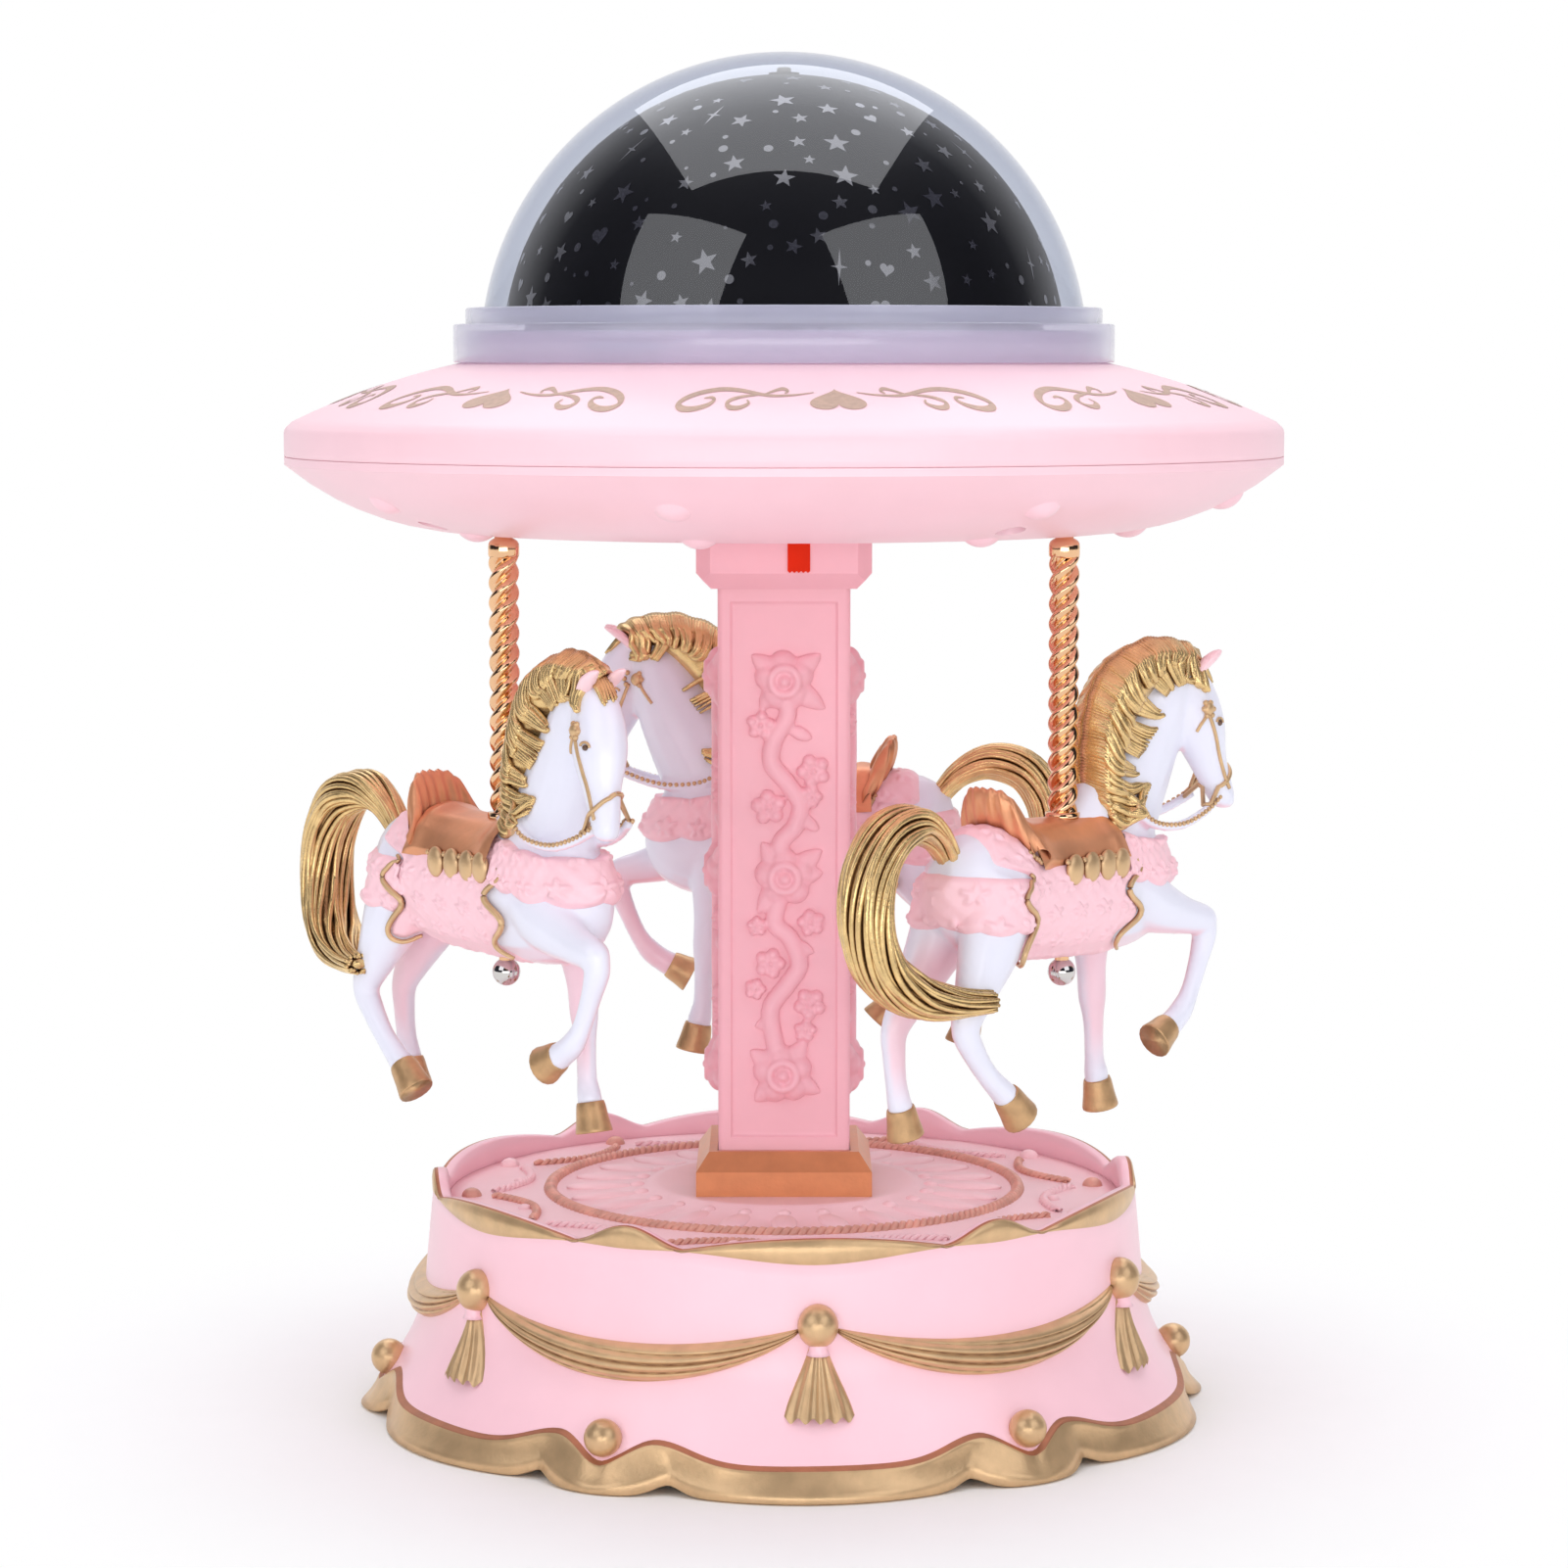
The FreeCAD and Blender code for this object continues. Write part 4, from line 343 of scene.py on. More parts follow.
def see_through(name, tint, rim, rough, sheen, haze=None):
    """Thin plastic with light straight through it, tinted at its edges, and milky if a haze is given."""
    mat, tree = new_material(name)
    tree.nodes.remove(tree.nodes["Principled BSDF"])
    where = node(tree, "TexCoord")
    cloud = node(tree, "TexNoise", {"Vector": (where, "Object"), "Scale": 140.0})
    span = node(tree, "MapRange", {"Value": (cloud, "Fac"), "To Min": rough * 0.8, "To Max": rough * 1.3})
    tilt = (node(tree, "LayerWeight"), "Facing")
    slant = node(tree, "MapRange", {"Value": tilt, "From Min": 0.35, "From Max": 0.80},
                 interpolation_type="SMOOTHSTEP")
    shade = node(tree, "Mix", data_type="RGBA")
    set_inputs(shade, {"Factor": (slant, "Result"), "A": tint, "B": rim})
    body = node(tree, "BsdfTransparent", {"Color": (shade, "Result")})
    if haze:
        fog = node(tree, "BsdfTranslucent", {"Color": haze})
        skin = node(tree, "BsdfDiffuse", {"Color": haze})
        both = node(tree, "MixShader", {"Fac": 0.55, 1: (fog, 0), 2: (skin, 0)})
        body = node(tree, "MixShader", {"Fac": 0.6, 1: (body, 0), 2: (both, 0)})
    gloss = node(tree, "BsdfGlossy", {"Color": (1, 1, 1, 1), "Roughness": (span, "Result")})
    steep = node(tree, "Math", {0: tilt, 1: 5.0}, operation="POWER")
    edge = node(tree, "MapRange", {"Value": (steep, 0), "To Min": sheen})
    top = node(tree, "MixShader", {"Fac": (edge, "Result"), 1: (body, 0), 2: (gloss, 0)})
    set_inputs(tree.nodes["Material Output"], {"Surface": (top, 0)})
    return mat


CLEAR = see_through("clear_dome", (0.97, 0.97, 0.985, 1), (0.56, 0.60, 0.70, 1), 0.02, 0.08)
MILKY = see_through("milky_collar", (0.98, 0.98, 1.0, 1), (0.98, 0.98, 1.0, 1), 0.18, 0.04,
                    lin(220, 221, 238))

# Finishes of the nodes that show as they were modelled
for mat, names in {
        PINK_CANOPY: ["canopy_lower"], PINK_COLUMN: ["column_capital"], COPPER: ["column_plinth"],
        TAPE: ["tape_tab"], CHROME: ["pole_balls"],
        BLACK: ["bottom_plate", "light_switch_body", "light_switch_knob"],
        STEEL: ["canopy_screws", "bottom_screws", "column_screws", "hub_screws", "movement_screws",
                "comb_screws", "drive_shaft", "mainspring", "winding_arbor", "cylinder_arbor", "tuning_comb",
                "pole_nuts", "thrust_washer"],
        BRASS: ["capital_bush", "movement_plate_lower", "movement_plate_upper", "movement_pillars",
                "spring_barrel", "barrel_lid", "cylinder_drum", "cylinder_wheel", "train_wheel",
                "governor_fan", "winding_key"],
        PLAIN: ["drive_hub", "lamp_plate", "battery_tray"], BOARD: ["lamp_board"], LENS: ["lamp_led"],
        SLEEVE: ["battery_cells"], IRON: ["comb_bracket"]}.items():
    for name in names:
        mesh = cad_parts[name].data
        mesh.materials.clear()
        mesh.materials.append(mat)
for name in ("column_capital", "column_plinth"):
    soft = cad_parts[name].modifiers.new("soft edges", "BEVEL")
    soft.width = 0.0004
    soft.segments = 3
    soft.limit_method = "ANGLE"


# Base drum, with a bead midway between its tassels
TASSEL = -85.0
SECTOR = 60.0
HUMP_HALF = 9.5
LOBE_HALF = SECTOR / 2.0 - HUMP_HALF
FOOT_Z, WAIST_Z, RIM_Z, DECK_Z = 5.0, 23.0, 38.0, 35.6
FOOT_RADIUS, WAIST_RADIUS = 69.6, 62.2


def wall_radius(z):
    """Radius of the wall at a height: flared below the waist and nearly straight above it."""
    if z < WAIST_Z:
        t = max(0.0, (z - FOOT_Z) / (WAIST_Z - FOOT_Z))
        return FOOT_RADIUS - (FOOT_RADIUS - WAIST_RADIUS) * t - 6.9 * t * (1.0 - t)
    return WAIST_RADIUS - 1.4 * (z - WAIST_Z) / (RIM_Z - WAIST_Z)


def from_bead(angle):
    """Degrees to the nearest bead, from 0 to half a sector."""
    return abs((angle - TASSEL) % SECTOR - SECTOR / 2.0)


def from_tassel(bead_gap):
    """Share of the way from the tassel to the start of the hump at the bead."""
    return (SECTOR / 2.0 - bead_gap) / LOBE_HALF


def crest_z(angle):
    b = from_bead(angle)
    if b > HUMP_HALF:
        return RIM_Z + 2.2 * (1.0 - from_tassel(b) ** 2)
    return RIM_Z + 3.2 * (0.5 + 0.5 * cos(pi * b / HUMP_HALF)) ** 0.85


def gold_z(angle):
    """Lower edge of the rim's gold."""
    b = from_bead(angle)
    return 37.7 - 1.7 * smooth((b - 8.0) / 22.0) - 0.2 * smooth((8.0 - b) / 8.0)


def foot_top(angle):
    b = from_bead(angle)
    if b < 7.5:
        return 4.3 + 3.7 * smooth(b / 7.5) ** 0.8
    return 5.0 + 3.0 * exp(-((b - 7.5) / 7.0) ** 2)


def foot_low(angle):
    """Radius and height of the foot's lower edge."""
    b = from_bead(angle)
    lift = 1.5 * exp(-((b - HUMP_HALF) / 2.6) ** 2)
    reach = 73.7 - 3.9 * from_tassel(b) ** 2 if b > HUMP_HALF else 73.6 - 3.8 * (b / HUMP_HALF) ** 2
    return reach, lift


def drum_section(angle):
    """Points (r, z) of the drum's wall at an angle, from the foot's inside over the rim to the deck."""
    low_r, low_z = foot_low(angle)
    top = foot_top(angle)
    top_r = wall_radius(top) + 0.9
    rim = gold_z(angle)
    rim_r = wall_radius(rim)
    high = crest_z(angle)
    points = [(66.0, low_z + 1.2), (low_r - 0.9, low_z), (low_r, low_z + 0.35)]
    points += [(mix(low_r, top_r, t) - 0.45 * sin(pi * t), mix(low_z + 0.35, top, t))
               for t in (0.3, 0.6, 0.85)]
    points += [(top_r, top - 0.25), (top_r - 0.3, top), (wall_radius(top + 0.4), top + 0.35)]
    points += [(wall_radius(z), z) for z in (mix(top + 0.8, rim, t) for t in shares(14))]
    points += [(rim_r + 0.12, rim + 0.12), (rim_r + 0.2, mix(rim, high, 0.55)), (60.9, high - 0.5),
               (60.6, high - 0.1), (60.0, high), (58.9, high), (58.4, high - 0.3),
               (58.3, mix(high, DECK_Z, 0.5)), (58.3, DECK_Z)]
    return points


COLUMNS = 480
sections = [drum_section(360.0 * k / COLUMNS) for k in range(COLUMNS)]
rows = len(sections[0]) - 1
FOOT_ROWS, LINE_ROWS, RIM_ROW, RIM_END = 6, 8, rows - 9, rows - 5


def drum_point(u, v):
    r, z = sections[round(u * COLUMNS) % COLUMNS][round(v * rows)]
    return polar(r, 360.0 * u, z)


def drum_slot(face):
    """Gold foot and rim, each with a dark line along it, and a pink wall."""
    row = face % rows
    if row < FOOT_ROWS or RIM_ROW <= row < RIM_END:
        return 1
    return 2 if row < LINE_ROWS or row == RIM_END else 0


drum = Shape().add(grid(drum_point, COLUMNS, rows, close_u=True), drum_slot)
drum.piece("base_drum", [PINK_BASE, GOLD, GOLD_DARK], "base", ["base_shell"], "base_pink")


def swag_point(u, v, bead_at):
    """Draped swag with slanting creases, its middle under a bead."""
    s = 2.0 * u - 1.0
    arch = 1.0 - s * s
    z = mix(26.0 - 3.4 * arch, 25.4 - 9.0 * arch ** 0.85, v)
    crease = abs(sin(4.2 * pi * (v - 0.2 * (s + 1.0)))) ** 0.55
    swell = 2.7 * sin(pi * v ** 0.85) ** 0.7 + 0.95 * (crease - 0.55) * sin(pi * v) ** 0.4
    return polar(wall_radius(z) - 0.15 + swell * arch ** 0.5, bead_at + 27.4 * s, z)


def tassel_point(u, v, tassel_at):
    """Fluted tassel that widens downwards."""
    flute = cos(10 * pi * u)
    z = mix(23.6, 11.9 + 0.5 * flute, v)
    half = mix(1.3, 5.6, smooth(v) * 0.35 + 0.65 * v)
    bulge = sin(pi * u) ** 0.6 * mix(1.6, 2.5, v) * (1.0 - 0.25 * v ** 6)
    out = max(0.0, bulge + 0.45 * v * flute * sin(pi * u))
    return polar(wall_radius(z) - 0.15 + out, tassel_at + degrees(half * (2 * u - 1) / 63.0), z)


ornament = Shape()
for k in range(6):
    tassel_at = TASSEL + SECTOR * k
    bead_at = tassel_at + SECTOR / 2.0
    ornament.add(grid(lambda u, v: swag_point(u, v, bead_at), 90, 48))
    ornament.add(grid(lambda u, v: tassel_point(u, v, tassel_at), 50, 16))
    ornament.add(ball(3.3, polar(62.4, tassel_at, 26.4), stretch=(1, 1, 1.08)))
    ornament.add(tube([polar(62.8, tassel_at, z) for z in (25.5, 24.0, 22.6, 21.8)],
                      lambda t: 1.9 - 0.5 * sin(pi * t), sides=14), 1)
    ornament.add(ball(3.1, polar(68.7, bead_at, 8.2)))
ornament.piece("base_drapes", [GOLD, PINK_BASE], "base", slot="copper_gold")

# Deck with rope rings, petals, loops and small bosses
deck = Shape()
deck.add(lathe([(58.4, 35.2), (58.2, 36.0), (55.0, 36.2), (43.0, 36.3), (42.0, 36.9), (39.2, 36.9),
                (38.4, 36.5), (24.5, 37.3), (23.6, 38.0), (21.8, 38.1), (21.2, 38.0), (10.0, 38.0)]))
for k in range(24):
    turn = Matrix.Rotation(radians(15.0 * k), 4, "Z")
    deck.add(ball(1.0, (31.5, 0, 36.75), 18, 10, (6.4, 2.3, 0.85)), 0, turn)
    deck.add(ball(1.0, (25.5, 0, 37.1), 12, 8, (1.5, 1.2, 0.8)), 0, turn)
for k in range(12):
    a = TASSEL + 30.0 * k
    deck.add(ball(1.75, polar(54.2, a, 36.2), 16, 10, (1, 1, 0.8)), k % 2)
    deck.add(ball(1.2, polar(47.0, a + 15.0, 36.3), 14, 8, (1, 1, 0.6)))


def rope(points, radius, turns, n):
    """Two-strand rope along points given by a function of 0 to 1."""
    path = [Vector(points(t)) for t in shares(n)]
    out = Shape()
    for phase in (0.0, pi):
        strand = []
        for k, p in enumerate(path):
            side = direction(path, k).cross(UP).normalized()
            t = tau * turns * k / n + phase
            strand.append(p + (side * cos(t) + UP * sin(t)) * (0.55 * radius))
        out.add(tube(strand, radius * 0.62, 6, caps=False))
    return out.verts, out.faces


def loop_point(t, middle):
    """Point of a rope loop that dips inwards."""
    return polar(50.5 - 5.0 * sin(pi * t) ** 0.8, middle - 12.5 + 25.0 * t, 36.5)


deck.add(rope(lambda t: polar(40.6, 360.0 * t, 37.0), 1.0, 90, 720), 1)
for k in range(12):
    deck.add(rope(lambda t: loop_point(t, TASSEL + 15.0 + 30.0 * k), 0.7, 9, 72), k % 2)
deck.piece("deck_relief", [PINK_DECK, ROPE], "base", ["stage_deck"], "deck_gold")


# Canopy

def lugs(shape, inner, outer, low):
    """Three short bayonet lugs between two radii."""
    for k in range(3):
        shape.add(grid(lambda u, v: polar(mix(inner, outer, sin(pi * v) ** 0.3),
                                          120.0 * k - 8.0 + 16.0 * u, low + 1.4 * v), 16, 8))


BOSS_RADIUS = 52.0
CROWN = arc((85.0, 169.0), (BOSS_RADIUS, 180.2), -1.2, 24)
shell = Shape()
shell.add(lathe([(83.0, 163.82), (84.75, 163.82), (84.98, 163.98), (85.0, 165.0), (85.0, 166.5),
                 (85.0, 167.8), (84.88, 168.35), (84.55, 168.85), (84.0, 169.3)] + CROWN[1:]
                + [(BOSS_RADIUS, 182.0), (BOSS_RADIUS, 184.3), (51.7, 184.6), (49.9, 184.6)], 240))
lugs(shell, 51.5, 53.2, 183.2)
shell.piece("canopy_crown", PINK_CANOPY, "carousel", ["canopy_upper"], "canopy_pink")


def crown_point(r, angle, lift):
    """Point on the crown at a radius, raised a little from it."""
    for (r0, z0), (r1, z1) in zip(CROWN, CROWN[1:]):
        if r >= r1:
            return polar(r, angle, mix(z0, z1, (r0 - r) / (r0 - r1)) + lift)
    return polar(r, angle, CROWN[-1][1] + lift)


def ribbon(points, width, n):
    """Left and right edges of a flat ribbon along a curve. width is a function of the share along it."""
    pts = spline(points, n)
    left, right = [], []
    for k, (s, t) in enumerate(pts):
        a, b = pts[max(k - 1, 0)], pts[min(k + 1, n)]
        ds, dt = b[0] - a[0], b[1] - a[1]
        size = hypot(ds, dt) or 1.0
        half = width(k / n) / 2.0
        left.append((s - dt / size * half, t + ds / size * half))
        right.append((s + dt / size * half, t - ds / size * half))
    return left, right


def heart(n, wide, tall):
    """Outline of a heart, from two scales of the usual heart curve."""
    return [(16 * wide * sin(x) ** 3,
             tall * (13 * cos(x) - 5 * cos(2 * x) - 2 * cos(3 * x) - cos(4 * x)))
            for x in round_trip(n)]


# Hearts and scrolls round the crown: along it in millimetres, and across it in units of PRINT_TALL
PRINTS, PRINT_RADIUS, PRINT_TALL, PRINT_WIDE, FIRST_PRINT = 8, 74.0, 2.9, 1.06, -83.6
HEART = heart(48, 4.1 / 16, 0.095)
LONG_SCROLL = ((3.3, -1.1), (6.1, -0.76), (9.1, -0.64), (11.4, -0.88), (14.3, -1.4), (17.3, -1.6),
               (20.2, -1.17), (22.2, -0.41), (23.0, 0.42), (22.2, 1.02), (20.5, 1.08), (18.7, 0.59),
               (18.0, -0.06), (18.6, -0.42), (19.6, -0.3))
LOW_CURL = ((11.6, -0.8), (14.3, -0.47), (15.9, 0.16), (15.5, 0.84), (14.1, 0.92), (12.9, 0.41),
            (13.2, -0.06))
HIGH_CURL = ((11.0, -0.75), (9.1, -1.42), (7.9, -1.66), (7.2, -1.32), (7.7, -0.95))
STROKES = ((LONG_SCROLL, lambda t: 0.1 + 0.62 * sin(pi * t ** 1.25) ** 0.8),
           (LOW_CURL, lambda t: 0.15 + 0.42 * sin(pi * t) ** 0.8),
           (HIGH_CURL, lambda t: 0.12 + 0.34 * sin(pi * t) ** 0.8))
prints = Shape()
for k in range(PRINTS):
    middle = FIRST_PRINT + 360.0 / PRINTS * k

    def printed(s, t):
        angle = middle + degrees(PRINT_WIDE * s / PRINT_RADIUS)
        return crown_point(PRINT_RADIUS + PRINT_TALL * t, angle, 0.08)

    n = len(HEART)
    prints.add(([printed(0, 0)] + [printed(*p) for p in HEART],
                [(0, j + 1, (j + 1) % n + 1) for j in range(n)]))
    for side in SIDES:
        for points, width in STROKES:
            left, right = ribbon([(s * side, t) for s, t in points], width, 72)
            n = len(left)
            prints.add(([printed(*p) for p in left + right],
                        [(j, j + 1, n + j + 1, n + j) for j in range(n - 1)]))
prints.piece("canopy_print", PRINT, "carousel", slot="copper_gold")

# Dome, collar and star print
collar = Shape()
collar.add(lathe([(54.3, 184.9), (54.3, 179.75), (54.6, 179.6), (56.1, 179.6), (56.3, 179.8), (56.3, 185.8),
                  (56.1, 186.06), (54.2, 186.1), (54.2, 188.5), (54.0, 188.8), (52.1, 188.8), (51.9, 188.6),
                  (51.9, 186.1), (44.2, 186.1), (44.2, 184.9), (54.3, 184.9)], 240))
lugs(collar, 54.3, 52.4, 181.5)
collar.piece("twist_collar", MILKY, "dome", ["dome_collar"], "milky_collar")
DOME_Z = 180.2
STAR_RADIUS, CLEAR_RADIUS = 48.0, 51.75


def globe(r, start=5.9, n=48):
    """Profile of a dome from a height above its centre to its top."""
    low = asin(start / r)
    return [(r * cos(t), DOME_Z + r * sin(t)) for t in (mix(low, pi / 2, f) for f in shares(n))]


Shape().add(lathe(globe(CLEAR_RADIUS), 200)).piece("clear_shell", CLEAR, "dome", ["outer_dome"], "clear_dome")
night = Shape()
night.add(lathe(globe(STAR_RADIUS), 200))
night.add(lathe([(2.6, 228.05), (2.6, 228.5), (1.2, 228.55), (1.2, 229.2), (0.9, 229.4), (0.0, 229.4)], 24))
night.piece("star_shell", STARRY, "dome", ["star_dome"], "black_dome")


def rays(lengths, n):
    """Outline whose n points have the lengths in turn."""
    sizes = [lengths[j % len(lengths)] for j in range(n)]
    return [(size * sin(t), size * cos(t)) for size, t in zip(sizes, round_trip(n))]


FIGURES = {"star": rays((1.0, 0.42), 10), "spark": rays((1.35, 0.16, 0.6, 0.16), 8), "dot": rays((1.0,), 14),
           "heart": heart(24, 0.06, 0.06)}
marks = Shape()


def mark(d, size, kind, spin):
    """Small printed figure on the black dome."""
    across = d.cross(UP).normalized()
    over = across.cross(d)
    c, s = cos(spin), sin(spin)
    verts = []
    for a, b in [(0.0, 0.0)] + FIGURES[kind]:
        p = d + (across * (a * c - b * s) + over * (a * s + b * c)) * (size / STAR_RADIUS)
        verts.append(tuple(UP * DOME_Z + p.normalized() * (STAR_RADIUS + 0.06)))
    n = len(verts) - 1
    marks.add((verts, [(0, (j + 1) % n + 1, j + 1) for j in range(n)]))


random.seed(12)
placed = []
tries = 0
while len(placed) < 340 and tries < 9000:
    tries += 1
    z = random.uniform(0.13, 0.985)
    a = random.uniform(0, tau)
    d = Vector((sqrt(1 - z * z) * cos(a), sqrt(1 - z * z) * sin(a), z))
    roll = random.random()
    if roll < 0.58:
        kind, size = "star", random.choice((1.1, 1.5, 1.9, 2.3))
    elif roll < 0.90:
        kind, size = "dot", random.choice((0.35, 0.5, 0.8))
    elif roll < 0.965:
        kind, size = "heart", random.choice((1.3, 1.8))
    else:
        kind, size = "spark", 2.4
    if all((d - e).length * STAR_RADIUS > size + other + 1.2 for e, other in placed):
        placed.append((d, size))
        mark(d, size, kind, random.uniform(-0.35, 0.35))
marks.piece("star_marks", STAR, "dome", slot="black_dome")

# Column with rose reliefs, drawn on its front face
HALF = 11.25
CORNER = 0.9
COLUMN_LOW, COLUMN_HIGH = 38.0, 145.6
BACKWARD = (0, 1, 0)


def panel_face():
    """Front face of the column: raised border, bevelled step and sunk panel."""
    loops = []
    for inset, depth, low, high in ((CORNER, 0.0, COLUMN_LOW, COLUMN_HIGH), (2.1, 0.0, 47.6, 139.4),
                                    (2.5, 0.45, 48.0, 139.0), (2.9, 0.5, 48.4, 138.6)):
        x, y = HALF - inset, -HALF + depth
        loops.append([(-x, y, low), (x, y, low), (x, y, high), (-x, y, high)])
    return [p for loop in loops for p in loop], ring_faces(3, 4, caps=False) + [(12, 13, 14, 15)]


def knob(x, z, wide, high):
    """Round lump on the panel."""
    return ball(1.0, (x, -HALF + 0.5, z), 18, 12, (wide, high, wide))


def leaf(x, z, to_x, to_z, wide):
    """Plump pointed leaf from a centre to its tip."""
    path = [(mix(x, to_x, t), -HALF + 0.35, mix(z, to_z, t)) for t in shares(12)]
    return tube(path, lambda t: 0.15 + wide * sin(pi * min(1.0, 0.2 + 0.8 * t)) ** 0.75, 12, 0.75,
                BACKWARD)


def rose(shape, x, z, tips):
    for dx, dz in tips:
        shape.add(leaf(x, z, x + dx, z + dz, 1.9))
    for t in round_trip(5):
        shape.add(knob(x + 2.7 * cos(t + 0.4), z + 2.7 * sin(t + 0.4), 2.5, 2.5))
    ring = [(x + 2.3 * cos(t), -HALF - 1.9, z + 2.3 * sin(t)) for t in round_trip(30, True)]
    shape.add(tube(ring, 0.7, 10, up=BACKWARD))
    shape.add(knob(x, z, 1.6, 3.5))


def blossom(shape, x, z, size, turn):
    for k in range(5):
        t = radians(turn + 72 * k)
        shape.add(knob(x + 0.62 * size * cos(t), z + 0.62 * size * sin(t), 0.41 * size, 1.7))
    shape.add(knob(x, z, 0.26 * size, 1.9))


# Stem (x, z), roses (x, z, leaf tips), blossoms (x, z, size, turn) and leaves (x, z, tip x, tip z)
STEM = ((0.0, 58.5), (-1.8, 65.0), (-2.2, 70.0), (0.6, 74.0), (2.6, 77.5), (1.0, 82.0), (-1.6, 85.0),
        (0.0, 92.4), (-0.6, 98.0), (1.8, 101.0), (2.8, 104.8), (0.8, 108.2), (-2.1, 112.0), (-1.6, 116.0),
        (0.6, 120.2), (0.1, 126.0))
ROSES = ((0.1, 126.0, ((-5.6, 4.4), (6.2, 4.5), (6.9, -4.9), (-4.2, -4.9))),
         (0.1, 92.4, ((-3.9, 6.1), (6.4, 4.8), (6.6, 0.8), (-4.6, -6.2))),
         (-0.2, 58.5, ((-5.6, 4.2), (4.0, 6.0), (6.4, -3.2), (-4.8, -4.8))))
BLOSSOMS = ((-4.0, 118.4, 2.5, 10), (5.0, 110.6, 2.9, 40), (4.6, 106.2, 2.0, 0), (-2.6, 104.4, 3.0, 25),
            (-2.4, 77.6, 2.7, 0), (4.6, 84.6, 2.4, 30), (4.4, 70.6, 2.8, 50), (-4.6, 84.0, 1.8, 20),
            (3.6, 66.0, 2.0, 10), (-4.9, 73.2, 1.9, 0))
LEAVES = ((1.4, 117.6, 4.8, 116.0), (2.4, 103.0, 6.0, 100.4), (1.6, 81.0, 5.2, 79.4),
          (-1.4, 68.0, -5.0, 66.6))
flowers = Shape()
for x, z, tips in ROSES:
    rose(flowers, x, z, tips)
flowers.add(tube([(x, -HALF + 0.3, z) for x, z in spline(STEM, 120)], 1.6, 12, up=BACKWARD))
for x, z, size, turn in BLOSSOMS:
    blossom(flowers, x, z, size, turn)
for x, z, to_x, to_z in LEAVES:
    flowers.add(leaf(x, z, to_x, to_z, 1.1))
soft_flowers = sculpted(flowers, 0.26, 4)


def corner_point(u, v):
    """Round edge between two faces of the column."""
    t = pi / 2 * u
    return (HALF - CORNER + CORNER * sin(t), -HALF + CORNER - CORNER * cos(t),
            mix(COLUMN_LOW, COLUMN_HIGH, v))


pillar, relief = Shape(), Shape()
for k in range(4):
    turn = Matrix.Rotation(pi / 2 * k, 4, "Z")
    pillar.add(panel_face(), 0, turn)
    relief.add(soft_flowers, 0, turn)
    relief.add(grid(corner_point, 6, 1), 0, turn)
pillar.piece("column_shaft", PINK_COLUMN, "base", ["column"], "column_pink", flat=True)
relief.piece("column_roses", PINK_COLUMN, "base", slot="column_pink")

# Poles, each of three twisted strands, with their lower and upper ends as profiles (r, z)
POLE_CIRCLE = 53.5
POLE_ANGLES = (210.0, 330.0, 450.0)
POLES = [polar(POLE_CIRCLE, angle, 0.0) for angle in POLE_ANGLES]
STRAND_RADIUS, STRAND_OFFSET, STRAND_LEAD = 1.35, 1.2, 9.9
TWIST_LOW, TWIST_HIGH = 105.3, 147.8
POLE_FOOT = [(1.2, 78.6), (1.2, 104.2), (2.9, 104.2), (2.95, 104.6), (2.9, TWIST_LOW), (1.5, 105.35)]
POLE_CAP = [(2.0, 147.5), (2.5, 147.7), (2.6, 148.1), (2.6, 149.4), (2.52, 149.9), (2.3, 150.3), (1.9, 150.6),
            (1.55, 150.75), (1.5, 151.2), (1.5, 156.0), (0.0, 156.0)]


def strand_radius(t):
    """Reach of the three strands' outline in a direction."""
    best = STRAND_RADIUS
    for middle in round_trip(3):
        d = t - middle
        inside = STRAND_RADIUS ** 2 - (STRAND_OFFSET * sin(d)) ** 2
        if inside > 0 and cos(d) > 0:
            best = max(best, STRAND_OFFSET * cos(d) + sqrt(inside))
    return best


def strand_point(u, v):
    t = tau * u
    z = mix(TWIST_LOW, TWIST_HIGH, v)
    r = strand_radius((t - tau * (z - TWIST_LOW) / STRAND_LEAD) % tau)
    return (r * cos(t), r * sin(t), z)


for k, at in enumerate(POLES):
    rod = Shape()
    for form in (grid(strand_point, 60, 150, close_u=True), lathe(POLE_FOOT, 28), lathe(POLE_CAP, 28)):
        rod.add(form, 0, Matrix.Translation(at))
    rod.piece("twisted_pole_%d" % (k + 1), ROSE, "carousel", ["pole_%d" % (k + 1)], "rose_chrome")


# Horses, in their own coordinates: ahead of the pole, to the right of it, and height

def across_and_over(along):
    """Two directions square to a path of the horse, the first of them level across it."""
    across = (Vector((0, 1, 0)) - along * along.y).normalized()
    return across, along.cross(across)


def heading_at(rows, k):
    """Direction of a path of the horse at one of its rows."""
    a, b = rows[max(k - 1, 0)], rows[min(k + 1, len(rows) - 1)]
    return Vector((b[0] - a[0], a[1] - b[1], b[2] - a[2])).normalized()


def limb(stations, n=24, sides=16):
    """Closed form through stations (ahead, right, height, half across, half tall)."""
    rows = spline(stations, n)
    verts = []
    for k, (ahead, right, z, across, tall) in enumerate(rows):
        side, rise = across_and_over(heading_at(rows, k))
        for t in round_trip(sides):
            verts.append(tuple(Vector((ahead, -right, z)) + side * (across * cos(t))
                               + rise * (tall * sin(t))))
    return verts, ring_faces(n, sides)


